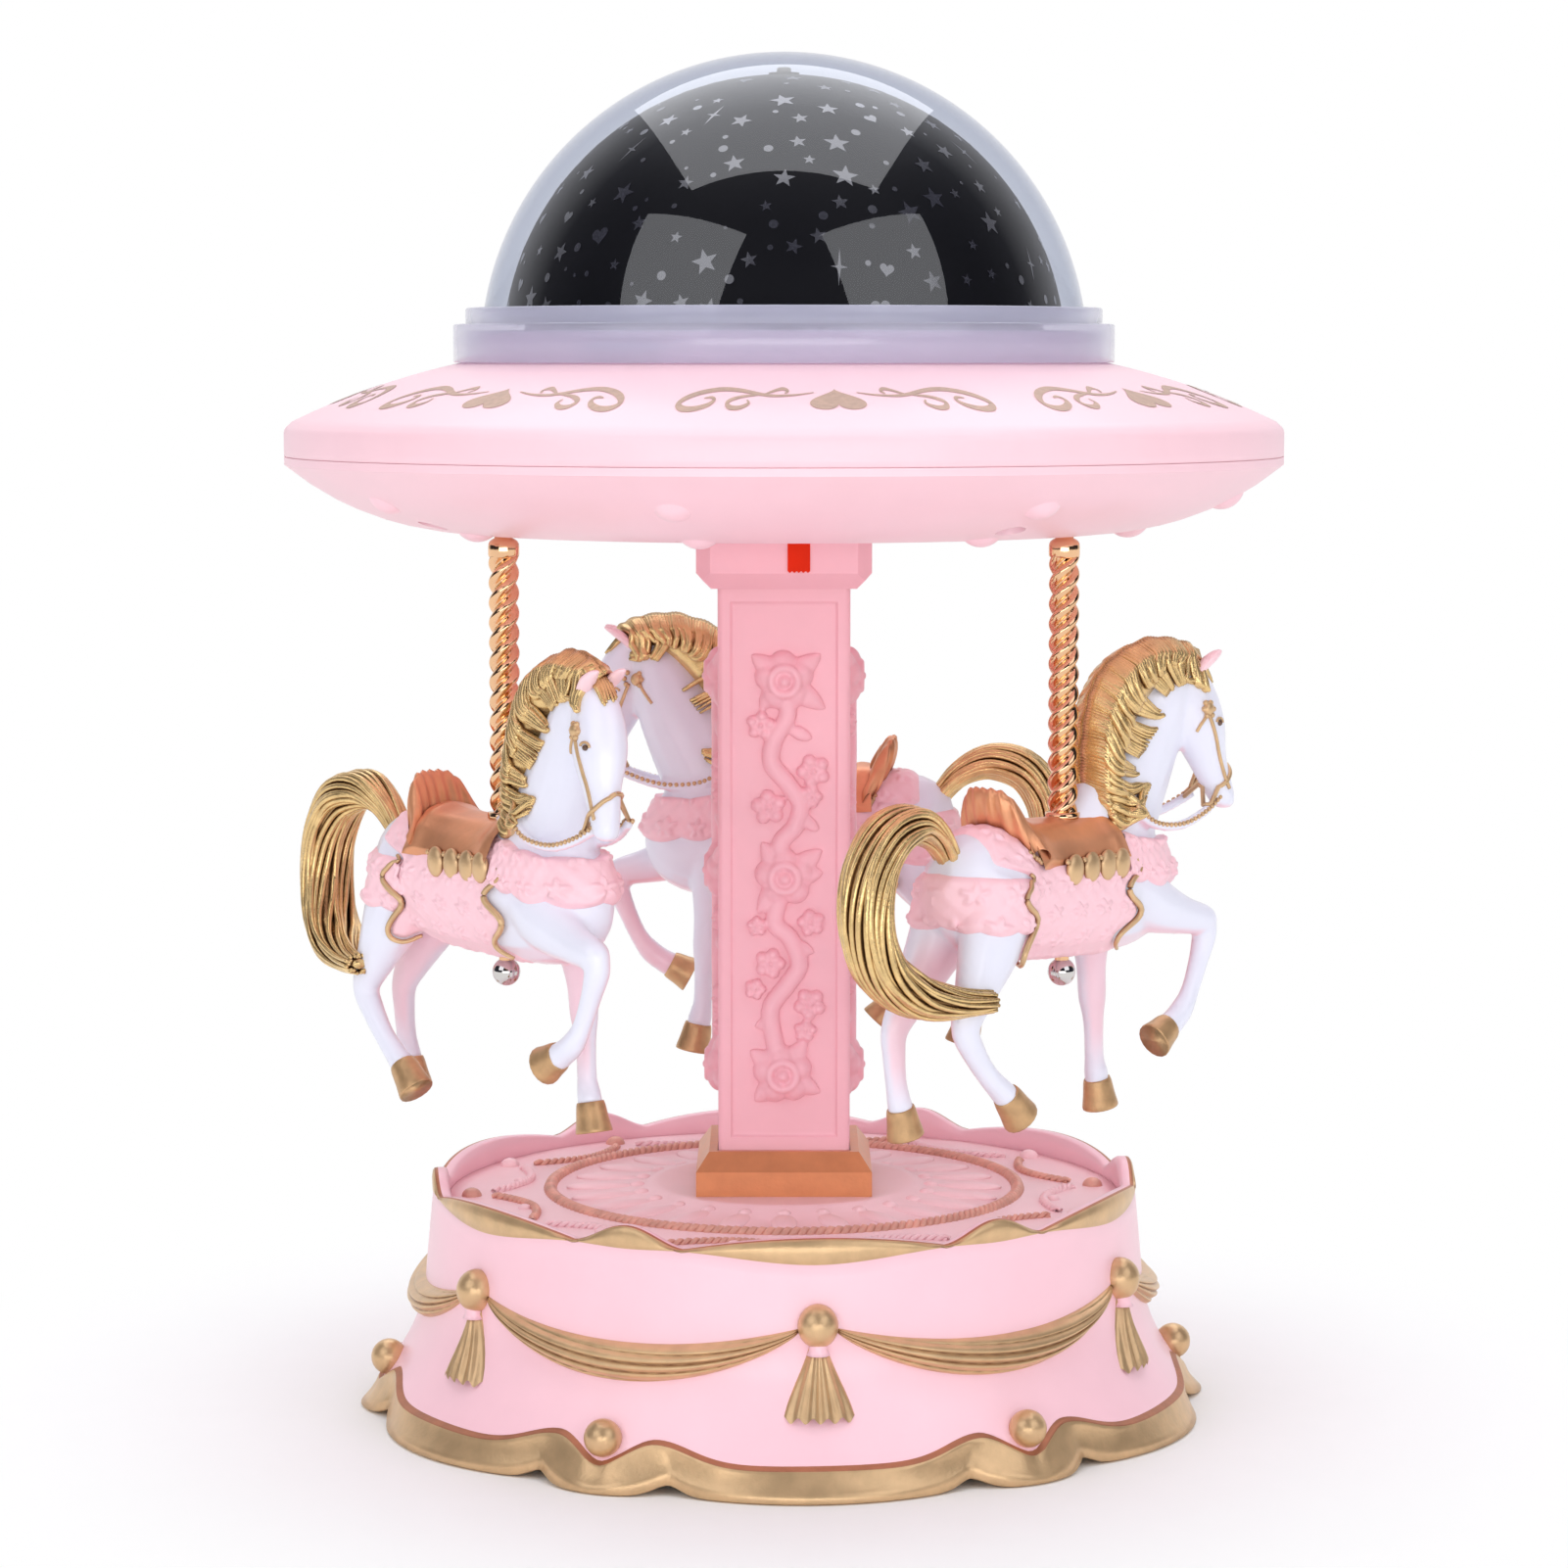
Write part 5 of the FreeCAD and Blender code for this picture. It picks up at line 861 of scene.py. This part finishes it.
BARREL = ((-31.5, 0, 97, 2.6, 3.6), (-28, 0, 96, 6.2, 7.8), (-22, 0, 94.3, 8.0, 10.2),
          (-12, 0, 92.8, 8.5, 11.0), (0, 0, 92.3, 8.7, 11.2), (10, 0, 92.6, 8.6, 11.8),
          (17, 0, 93.2, 7.6, 11.2), (22, 0, 94.4, 5.0, 8.4), (24.6, 0, 95.2, 2.0, 4.0))
NECK = ((6, 0, 96, 6.6, 10.5), (12, 0.3, 103, 5.9, 10.2), (16.5, 1, 110, 5.0, 8.8),
        (20.5, 1.9, 117.5, 4.3, 7.4), (24, 2.9, 124, 3.7, 5.4), (27, 3.5, 127.6, 2.6, 3.2))
HEAD = ((26.0, 3.4, 128.6, 2.4, 2.6), (28.8, 4.1, 123.6, 3.7, 4.9), (30.6, 4.8, 117.6, 4.0, 5.3),
        (32.2, 5.7, 111.8, 2.8, 3.7), (33.9, 6.5, 107.4, 2.3, 2.8), (34.8, 7.0, 104.8, 2.0, 2.1),
        (34.9, 7.1, 103.8, 1.0, 1.0))
FORELEGS = (
    ((12, 4, 92, 4.6, 6.4), (18, 4.8, 88.6, 4.1, 5.0), (25, 5.6, 86.2, 3.0, 3.4), (30.6, 6, 84.9, 2.5, 2.6),
     (32.6, 6, 84.2, 1.5, 1.6)),
    ((31.6, 6, 86, 1.5, 1.6), (31.2, 6, 82.6, 2.1, 2.2), (29.5, 6, 78, 1.7, 1.8), (27.2, 6, 73, 1.5, 1.7),
     (25, 6, 70, 1.9, 2.1), (22.6, 6, 68.2, 2.0, 2.2), (20.8, 6, 67.2, 2.2, 2.4)),
    ((12, -4, 92, 4.6, 5.8), (13.2, -4.6, 84, 3.4, 4.0), (13.9, -4.9, 77.5, 2.4, 2.8),
     (14.3, -5, 72.5, 2.3, 2.6), (14.7, -5, 68, 1.7, 1.9), (15, -5, 62, 1.6, 1.8),
     (15.4, -5, 59.6, 1.9, 2.2), (15.9, -5, 57.4, 2.0, 2.3)))
HIND_LEGS = (
    ((-20, 4, 95, 5.0, 8.2), (-24.5, 5, 86, 4.4, 6.4), (-28.5, 5.5, 79, 3.2, 4.1),
     (-31.4, 5.8, 73.2, 2.2, 2.7), (-29.5, 5.8, 69.3, 1.9, 2.2), (-26.2, 5.8, 65.2, 1.7, 1.9),
     (-22.8, 5.8, 62.2, 1.9, 2.1), (-20.8, 5.8, 60.6, 2.1, 2.3)),
    ((-21, -4, 95, 5.0, 8.2), (-26, -5, 85.5, 4.2, 6.0), (-31.5, -5.4, 78, 3.0, 3.8),
     (-35.6, -5.6, 72.4, 2.1, 2.6), (-35.8, -5.6, 68, 1.8, 2.1), (-35.3, -5.6, 63.5, 1.7, 1.9),
     (-34.6, -5.6, 60.5, 1.9, 2.1), (-34, -5.6, 58.6, 2.1, 2.3)))
HOOVES = (((21.3, 6, 67.5), (17.4, 6, 65.4)), ((15.8, -5, 58.0), (16.8, -5, 53.0)),
          ((-21.2, 5.8, 61.0), (-17.4, 5.8, 56.8)), ((-34.2, -5.6, 59.2), (-32.9, -5.6, 54.4)))
HOOF_PROFILE = ((0, 2.15), (0.15, 2.35), (0.55, 2.6), (0.96, 2.95), (1.0, 2.75))
MANE_EDGE = ((30.5, 4.2, 130.6), (27, 3.6, 132.3), (20, 2.2, 133.1), (12.5, 1.2, 130.6), (8, 0.6, 127),
             (5.8, 0.2, 121.5), (5.0, 0, 114.5), (5.4, 0, 108), (6.5, 0, 104))
MANE_TIPS = ((29.6, 4.4, 126.0), (26.6, 3.8, 124.6), (23.0, 2.6, 126.4), (19.6, 2.0, 126.2),
             (17.0, 1.6, 121.6), (16.2, 1.2, 118.0), (11.6, 0.8, 114.4), (11.4, 0.5, 111.6),
             (13.6, 0.3, 107.6), (13.0, 0.1, 105.2), (10.6, 0, 103.2))
MANE_CORE = ((28, 3.7, 129.4, 2.4, 2.2), (21, 2.2, 129.4, 3.6, 3.6), (14.0, 1.2, 125.4, 4.4, 5.0),
             (9.8, 0.6, 118.4, 4.8, 4.2), (7.9, 0.2, 110.6, 5.4, 3.2), (8.4, 0, 104.6, 5.8, 2.8))
TAIL = ((-28.6, 0, 99.6), (-32.5, 0.1, 103.8), (-38.2, 0.2, 106.2), (-44.6, 0.3, 104.4), (-48.7, 0.4, 98.6),
        (-49.6, 0.8, 91.0), (-47.4, 1.8, 84.0), (-42.2, 3.8, 79.6), (-35.4, 6.6, 77.8), (-28.6, 9.2, 77.6))
TAIL_CORE = (1.0, 1.4, 2.1, 2.6, 2.8, 2.7, 2.5, 2.2, 1.7, 0.8)
BARREL_Z = 92.5
REIN = ((33.6, 2.9, 106.2), (28.5, 4.2, 103.6), (22, 5.3, 101.9), (15, 6.3, 102.6), (10.5, 6.5, 105.6))


def rein_side(u, w, side):
    """Place of the rein across the horse, whose head is turned to the right."""
    return 0.62 * mix(0, 7, (u - 8) / 26) + side * w


flesh = Shape()
for stations in (BARREL, NECK, HEAD) + FORELEGS + HIND_LEGS:
    flesh.add(limb(stations))
for side in SIDES:
    flesh.add(limb([(u, rein_side(u, w, side), z, 0.9, 0.9) for u, w, z in REIN], 20, 8))
    flesh.add(ball(2.4, (-22, -side * 4.6, 92), 20, 14, (3.0, 1.7, 3.4)))
BODY = sculpted(flesh, 0.55, 5)
trunk = Shape().add(limb(BARREL))
for stations in HIND_LEGS:
    trunk.add(limb(stations[:3]))
TRUNK = sculpted(trunk, 0.55, 5)
MANE = sculpted(Shape().add(limb(MANE_CORE)), 0.6, 4)


def search_tree(*meshes):
    """Tree for finding points on the surfaces of meshes."""
    both = Shape()
    for mesh in meshes:
        both.add(mesh)
    return BVHTree.FromPolygons([Vector(v) for v in both.verts], both.faces)


skin, barrel, coat = search_tree(BODY), search_tree(TRUNK), search_tree(BODY, MANE)


def near(point, lift, tree=skin):
    """Nearest point of the horse's skin, raised from it."""
    spot, normal, _, _ = tree.find_nearest(Vector((point[0], -point[1], point[2])))
    return tuple(spot + normal * lift)


def cast(tree, centre, out, far, lift):
    """Point where a ray from far outside towards a centre meets a skin, raised from it."""
    spot, normal, _, _ = tree.ray_cast(centre + out * far, -out)
    if spot is None:
        spot, normal, _, _ = tree.find_nearest(centre + out * 9.0)
    return tuple(spot + normal * lift)


def wrap(ahead, angle, lift):
    """Point on the barrel at an angle from the top, to the right, raised from the skin."""
    t = radians(angle)
    return cast(barrel, Vector((ahead, 0, BARREL_Z)), Vector((0, -sin(t), cos(t))), 16.0, lift)


def belt(centre, angle, z, lift):
    """Point on the chest or the rump at an angle round an upright axis, raised from the skin."""
    t = radians(angle)
    return cast(skin, Vector((centre, 0, z)), Vector((cos(t), -sin(t), 0)), 30.0, lift)


def hem(u, v, depth=0.10):
    """Share of a patch's thickness: full inside, down to the skin at its edges."""
    inside = min(u, 1.0 - u, v, 1.0 - v) / depth
    return sqrt(smooth(inside))


LACE_WIDE, LACE_TALL = 6.2, 5.4


def lace(a, b):
    """Raised flower pattern of the cloth, with a and b in millimetres."""
    row = floor(b / LACE_TALL)
    x = (a / LACE_WIDE + 0.5 * (row % 2)) % 1.0 - 0.5
    y = (b / LACE_TALL) % 1.0 - 0.5
    far = hypot(x, y)
    lobes = 0.30 + 0.09 * cos(5.0 * atan2(y, x) + row)
    flower = smooth((lobes - far) / 0.14) * (0.6 + 0.4 * smooth((far - 0.05) / 0.1))
    return flower + 0.18 * sin(2.1 * a) * sin(1.9 * b)


CLOTH, SEAT, HAIR, NAIL, DARK, TRIM, PINKISH = range(7)
TACK_PAINTS = [PINK_CLOTH, SADDLE, HAIR_GOLD, HOOF, EYE, GOLD, PINK_EAR]
TACK = Shape()


def front_edge(angle):
    return 8.0 + 1.9 * sin(radians(angle) * 7.0) * smooth((angle - 50.0) / 20.0)


def rear_edge(angle):
    low = -19.2 + 1.8 * sin(radians(angle) * 7.0 + 0.6)
    return mix(-25.0, low, smooth((angle - 40.0) / 26.0))


# Cloth, chest ruffle, crupper, cords, saddle and its tassels, on both sides
for side in SIDES:
    def cloth(u, v):
        angle = 178.0 * v
        ahead = mix(rear_edge(angle), front_edge(angle), u)
        thin = mix(1.0, 0.4, smooth((angle - 120.0) / 40.0))
        lift = (0.8 + 0.4 * lace(ahead, angle * 0.18)) * hem(u, 0.5, 0.05) * thin
        return wrap(ahead, side * angle, lift - 0.12)

    def ruffle(u, v):
        angle = 108.0 * u
        wave = 0.9 * abs(sin(radians(angle) * 5.0))
        z = mix(92.4 - wave, 99.4 + 0.5 * wave, v) + 2.6 * u * u
        lift = (1.25 + 0.7 * lace(angle * 0.24, z)) * hem(0.5, v, 0.14) * hem(min(0.9, 0.5 + u / 2), 0.5)
        return belt(9.5, side * angle, z, lift - 0.1)

    def crupper(u, v):
        angle = mix(92.0, 180.0, u)
        wave = 0.6 * abs(sin(radians(angle) * 6.0))
        z = mix(87.6 - wave, 96.4, v) + 1.4 * u
        lift = (0.8 + 0.55 * lace(angle * 0.2, z)) * hem(0.5, v, 0.14)
        return belt(-17.0, side * angle, z, lift - 0.1)

    def seat(u, v):
        lift = 1.4 * hem(u, max(v, 0.5), 0.12) + 1.9 * (2 * u - 1) ** 4
        return wrap(mix(-16.0, 6.5, u), side * 58.0 * v, lift)

    TACK.add(grid(cloth, 110, 130), CLOTH)
    TACK.add(grid(ruffle, 110, 30), CLOTH)
    TACK.add(grid(crupper, 80, 30), CLOTH)
    for edge in (front_edge, rear_edge):
        cord = [wrap(edge(a), side * a, 0.85) for a in range(60, 158, 2)]
        TACK.add(tube(cord, lambda t: 0.34 + 0.24 * sin(pi * t), 7), TRIM)
    TACK.add(grid(seat, 40, 24), SEAT)
    for ahead in (-7.5, -3.2, 1.0, 4.6):
        TACK.add(ball(1.0, wrap(ahead, side * 62.0, 1.0), 14, 10, (2.1, 0.95, 2.6)), TRIM)
        TACK.add(ball(0.5, wrap(ahead - 2.0, side * 55.0, 1.6), 8, 6), TRIM)

# Cantle, as the middles and half heights of upright ovals from side to side
CANTLE_STEPS = 36
ovals = []
for t in shares(CANTLE_STEPS):
    a = 2.0 * t - 1.0
    low = Vector((-13.6 - 4.2 * (1 - a * a), -9.0 * a, 102.4 - 5.0 * a * a))
    high = Vector((-16.6 - 4.0 * (1 - a * a), -7.4 * a, 110.8 - 8.6 * a ** 4))
    wave = (1.0 + 0.05 * cos(9 * pi * a)) * (1.0 - 0.55 * a ** 8)
    ovals.append(((low + high) / 2, (high - low) / 2 * wave))
CANTLE_LINE = [middle for middle, _ in ovals]


def cantle_point(u, v):
    k = round(u * CANTLE_STEPS)
    middle, half = ovals[k]
    along = direction(CANTLE_LINE, k)
    t = tau * v
    thick = along.cross(half).normalized() * (1.25 * (1.0 + 0.18 * cos(14 * pi * u)))
    return tuple(middle + half * cos(t) + thick * sin(t))


TACK.add(grid(cantle_point, CANTLE_STEPS, 20, close_v=True), SEAT)
for middle, half in ovals:
    TACK.add(ball(0.5, tuple(middle - half * 0.86 + Vector((-1.1, 0, 0))), 8, 6), TRIM)

# Mane in locks that hook forward in three places, tail and forelock
random.seed(5)
STRANDS = 96
LOCK = 12
HOOKS = (0.10, 0.50, 0.80)
TACK.add(MANE, HAIR)
TACK.add(limb([(u, w, z, 1.45 * r, 1.05 * r) for (u, w, z), r in zip(TAIL, TAIL_CORE)], 40, 18), HAIR)
edge_line, tip_line = spline(MANE_EDGE, STRANDS), spline(MANE_TIPS, STRANDS)
for side in SIDES:
    for k in range(STRANDS + 1):
        start = Vector(edge_line[k])
        lock_tip = Vector(tip_line[min(STRANDS, LOCK * (k // LOCK) + LOCK // 2)])
        end = Vector(tip_line[k]).lerp(lock_tip, 0.42)
        hook = max(exp(-((k / STRANDS - at) / 0.05) ** 2) for at in HOOKS)
        path = [(start.x, -start.y, start.z)]
        for f in shares(9)[1:]:
            p = start.lerp(end, f)
            sway = 0.7 * sin(f * 6.0 + k * 0.21) + random.uniform(-0.12, 0.12)
            back = -1.9 * sin(pi * f) + 2.2 * hook * smooth((f - 0.7) / 0.3)
            rise = 0.5 * sway + 0.4 * back + hook * smooth((f - 0.8) / 0.2)
            lift = 0.28 + 0.3 * sin(k * 1.7) * sin(pi * f)
            path.append(near((p.x + back * 0.8, p.y + side * mix(4.0, 8.5, f), p.z + rise), lift, coat))
        thick = 0.62 + 0.16 * sin(k * 0.83)
        TACK.add(tube(spline(path, 26), lambda t: thick * (1.0 - 0.6 * t ** 6), 8, up=BACKWARD), HAIR)
TAIL_STEPS = 44
TAIL_STRANDS = 34
tail_line = spline(TAIL, TAIL_STEPS)
for k in range(TAIL_STRANDS):
    phase = tau * k / TAIL_STRANDS + random.uniform(-0.08, 0.08)
    path = []
    for j, (u, w, z) in enumerate(tail_line):
        t = j / TAIL_STEPS
        across, over = across_and_over(heading_at(tail_line, j))
        reach = mix(1.2, 3.1, smooth(t * 3.0)) * (1.0 - 0.55 * smooth((t - 0.74) / 0.26))
        reach += 0.2 * sin(9 * t + 2.0 * k)
        turn = phase + 1.2 * t + 0.2 * sin(7 * t + k)
        path.append(Vector((u, -w, z)) + across * (1.42 * reach * cos(turn))
                    + over * (1.05 * reach * sin(turn)))
    TACK.add(tube(path, lambda t: 0.58 * (1.0 - 0.5 * t ** 6), 8, up=BACKWARD), HAIR)
for k in range(7):
    fringe = [near((25.5 + 0.6 * k, 3.2 + 0.5 * k, 131.5), 0.2, coat),
              near((29.5 + 0.4 * k, 2.4 + 0.7 * k, 129.5), 0.5),
              near((32.5 + 0.2 * k, 2.6 + 0.7 * k, 126.5 - 0.4 * (k % 3)), 0.2)]
    TACK.add(tube(spline(fringe, 12), lambda t: 0.7 * (1 - 0.7 * t * t), 6), HAIR)

# Hooves, eyes, bridle, reins and ears
EYE_AT = (31.6, 4.9, 118.8)
BOSS_AT = (28.3, 4.0, 121.4)


def strap(start, end, steps, out, side, lift):
    """Points of a strap on one side of the head."""
    points = [[mix(a, b, t) for a, b in zip(start, end)] for t in shares(steps)]
    return [near((u, w + side * out, z), lift) for u, w, z in points]


for (u0, w0, z0), (u1, w1, z1) in HOOVES:
    TACK.add(limb([(mix(u0, u1, t), w0, mix(z0, z1, t), r, r * 1.12) for t, r in HOOF_PROFILE], 12, 18), NAIL)
for side in SIDES:
    u, w, z = EYE_AT
    TACK.add(ball(0.62, near((u, w + side * 5, z), 0.0), 14, 10, (1, 0.7, 0.8)), DARK)
    lid = [near((u + 1.2 * cos(t), w + side * 5, z + 0.9 * sin(t)), 0.12)
           for t in (0.1 + 0.35 * j for j in range(9))]
    TACK.add(tube(lid, 0.24, 6), TRIM)
    u, w, z = BOSS_AT
    TACK.add(ball(1.25, near((u, w + side * 6, z), 0.15), 12, 8, (1, 0.6, 1)), TRIM)
    for t in round_trip(6):
        bud = near((u + 1.3 * cos(t), w + side * 6, z + 1.3 * sin(t)), 0.25)
        TACK.add(ball(0.5, bud, 8, 6), TRIM)
    cheek = strap((28.5, 4.0, 120.4), (33.6, 6.3, 107.6), 10, 5, side, 0.12)
    TACK.add(tube(spline(cheek, 24), 0.34, 6), TRIM)
    brow = strap((28.2, 4.0, 121.0), (24.8, 3.4, 117.0), 5, 6, side, 0.1)
    TACK.add(tube(spline(brow, 12), 0.3, 6), TRIM)
    for u, w, z in spline([(u, rein_side(u, w + 0.75, side), z + 0.35) for u, w, z in REIN], 26):
        TACK.add(ball(0.42, (u, -w, z), 8, 6), TRIM)
    ear = spline([(27.4, -3.8 - side * 2.0, 126.6), (29.6, -4.1 - side * 2.6, 128.8),
                  (31.6, -4.4 - side * 2.8, 130.2), (33.2, -4.6 - side * 2.7, 130.9)], 14)
    TACK.add(tube(ear, lambda t: 0.12 + 1.35 * sin(pi * min(1.0, 0.25 + 0.75 * t)) ** 0.8, 10, 0.6),
             PINKISH)
nose = [near((33.4 + 5.5 * cos(t) * 0.87, 6.2 + 5.5 * sin(t), 109.0 + 5.5 * cos(t) * 0.5),
             0.15) for t in round_trip(30, True)]
TACK.add(tube(nose, 0.4, 6, caps=False), TRIM)


def pink_share(v):
    """How pink a point of the horse is: on the insides of the legs and under the belly."""
    inward = smooth((-v.normal.y * copysign(1.0, v.co.y) + 0.1) / 0.9)
    legs = smooth((90.0 - v.co.z) / 8.0) * smooth((v.co.z - 58.0) / 10.0)
    belly = smooth((-0.5 - v.normal.z) / 0.4) * smooth((v.co.z - 78.0) / 4.0)
    return 0.65 * inward * legs + 0.7 * belly


plain = bpy.data.meshes.new("plain")
plain.from_pydata(BODY[0], [], BODY[1])
plain.update()
BLUSH = [pink_share(v) for v in plain.vertices]
bpy.data.meshes.remove(plain)
TURNS = (12.0, -13.0, 0.0)
for k, at in enumerate(POLES):
    heading = radians(POLE_ANGLES[k] + 90.0 + TURNS[k])
    place = Matrix.Translation(Vector(at)) @ Matrix.Rotation(heading, 4, "Z")
    body = Shape().add(BODY, 0, place)
    body = body.piece("horse_body_%d" % (k + 1), WHITE, "carousel", ["horse_%d" % (k + 1)], "horse_white")
    body.data.attributes.new("blush", "FLOAT", "POINT").data.foreach_set("value", BLUSH)
    gear = Shape().add((TACK.verts, TACK.faces), lambda face: TACK.slots[face], place)
    gear.piece("horse_tack_%d" % (k + 1), TACK_PAINTS, "carousel", slot="horse_white")

# Floor, light and camera
SHADE_NEAR, SHADE_FAR = 0.080, 0.170
FLOOR_HALF = 6000.0


def background_rays(tree):
    """1 for glossy rays, and 1 for the rays of the camera and through glass, which see the background."""
    path = node(tree, "LightPath")
    either = node(tree, "Math", {0: (path, "Is Camera Ray"), 1: (path, "Is Transmission Ray")},
                  operation="MAXIMUM")
    return (path, "Is Glossy Ray"), (either, 0)


def studio_floor():
    """White floor that takes the object's shadow near it and goes over into the white background."""
    mat = material("floor_white", (0.93, 0.93, 0.93, 1), 0.8, vary=0.004, bump=0.0)
    tree = mat.node_tree
    glossy, either = background_rays(tree)
    seen = node(tree, "Math", {0: glossy, 1: either}, operation="MAXIMUM")
    where = node(tree, "TexCoord")
    away = node(tree, "VectorMath", {0: (where, "Object")}, operation="LENGTH")
    fade = node(tree, "MapRange", {"Value": (away, "Value"), "From Min": SHADE_NEAR, "From Max": SHADE_FAR},
                interpolation_type="SMOOTHSTEP")
    share = node(tree, "Math", {0: (seen, 0), 1: (fade, "Result")}, operation="MULTIPLY")
    white = node(tree, "Emission")
    both = node(tree, "MixShader", {"Fac": (share, 0), 1: (tree.nodes["Principled BSDF"], 0), 2: (white, 0)})
    set_inputs(tree.nodes["Material Output"], {"Surface": (both, 0)})
    return mat


ground = new_object("floor", [(-FLOOR_HALF, -FLOOR_HALF, 0), (FLOOR_HALF, -FLOOR_HALF, 0),
                              (FLOOR_HALF, FLOOR_HALF, 0), (-FLOOR_HALF, FLOOR_HALF, 0)], [(0, 1, 2, 3)])
ground.data.materials.append(studio_floor())

# World: white for the rays that see it, a soft fill for the rest, and a room dark in front for reflections
world = bpy.data.worlds.new("studio")
bpy.context.scene.world = world
world.use_nodes = True
tree = world.node_tree
back = set_inputs(tree.nodes["Background"], {"Color": (1, 1, 1, 1), "Strength": 1.0})
fill = node(tree, "Background", {"Color": (0.97, 0.98, 1.0, 1), "Strength": 0.55})
where = node(tree, "TexCoord")
split = node(tree, "SeparateXYZ", {"Vector": (where, "Generated")})
span = node(tree, "MapRange", {"Value": (split, "Y"), "From Min": -1.0, "From Max": 1.0})
ramp = ramp_node(tree, (span, "Result"), (0.64, (0.03, 0.03, 0.04, 1)), (0.88, (0.9, 0.9, 0.93, 1)))
room = node(tree, "Background", {"Color": (ramp, "Color")})
glossy, either = background_rays(tree)
first = node(tree, "MixShader", {"Fac": glossy, 1: (fill, 0), 2: (room, 0)})
second = node(tree, "MixShader", {"Fac": either, 1: (first, 0), 2: (back, 0)})
set_inputs(tree.nodes["World Output"], {"Surface": (second, 0)})


def softbox(name, at, aim, width, height, watts, color=(1, 1, 1)):
    lamp = bpy.data.lights.new(name, "AREA")
    lamp.shape = "RECTANGLE"
    lamp.size, lamp.size_y = width, height
    lamp.energy = watts
    lamp.color = color
    obj = bpy.data.objects.new(name, lamp)
    obj.location = at
    obj.rotation_euler = (Vector(aim) - Vector(at)).to_track_quat("-Z", "Y").to_euler()
    bpy.context.scene.collection.objects.link(obj)


COOL = (0.94, 0.955, 1.0)
softbox("box_left", (-0.95, -0.95, 0.95), (0, 0, 0.12), 1.1, 1.05, 4.8, COOL)
softbox("box_right", (0.95, -0.95, 0.95), (0, 0, 0.12), 1.1, 1.05, 4.8, COOL)
softbox("box_top", (0, 0.5, 1.35), (0, 0.42, 0.1), 1.35, 1.8, 13.0, COOL)
softbox("box_low", (0, -1.25, 0.16), (0, 0, 0.1), 1.5, 0.26, 4.0)

camera_data = bpy.data.cameras.new("camera")
camera = bpy.data.objects.new("camera", camera_data)
camera_data.sensor_width = 36.0
camera_data.lens = 98.5
camera.location = (0.0, -0.736, 0.181)
camera.rotation_euler = (radians(90.0 - 5.72), 0, 0)
bpy.context.scene.collection.objects.link(camera)
bpy.context.scene.camera = camera
bpy.context.scene.view_settings.view_transform = "Standard"
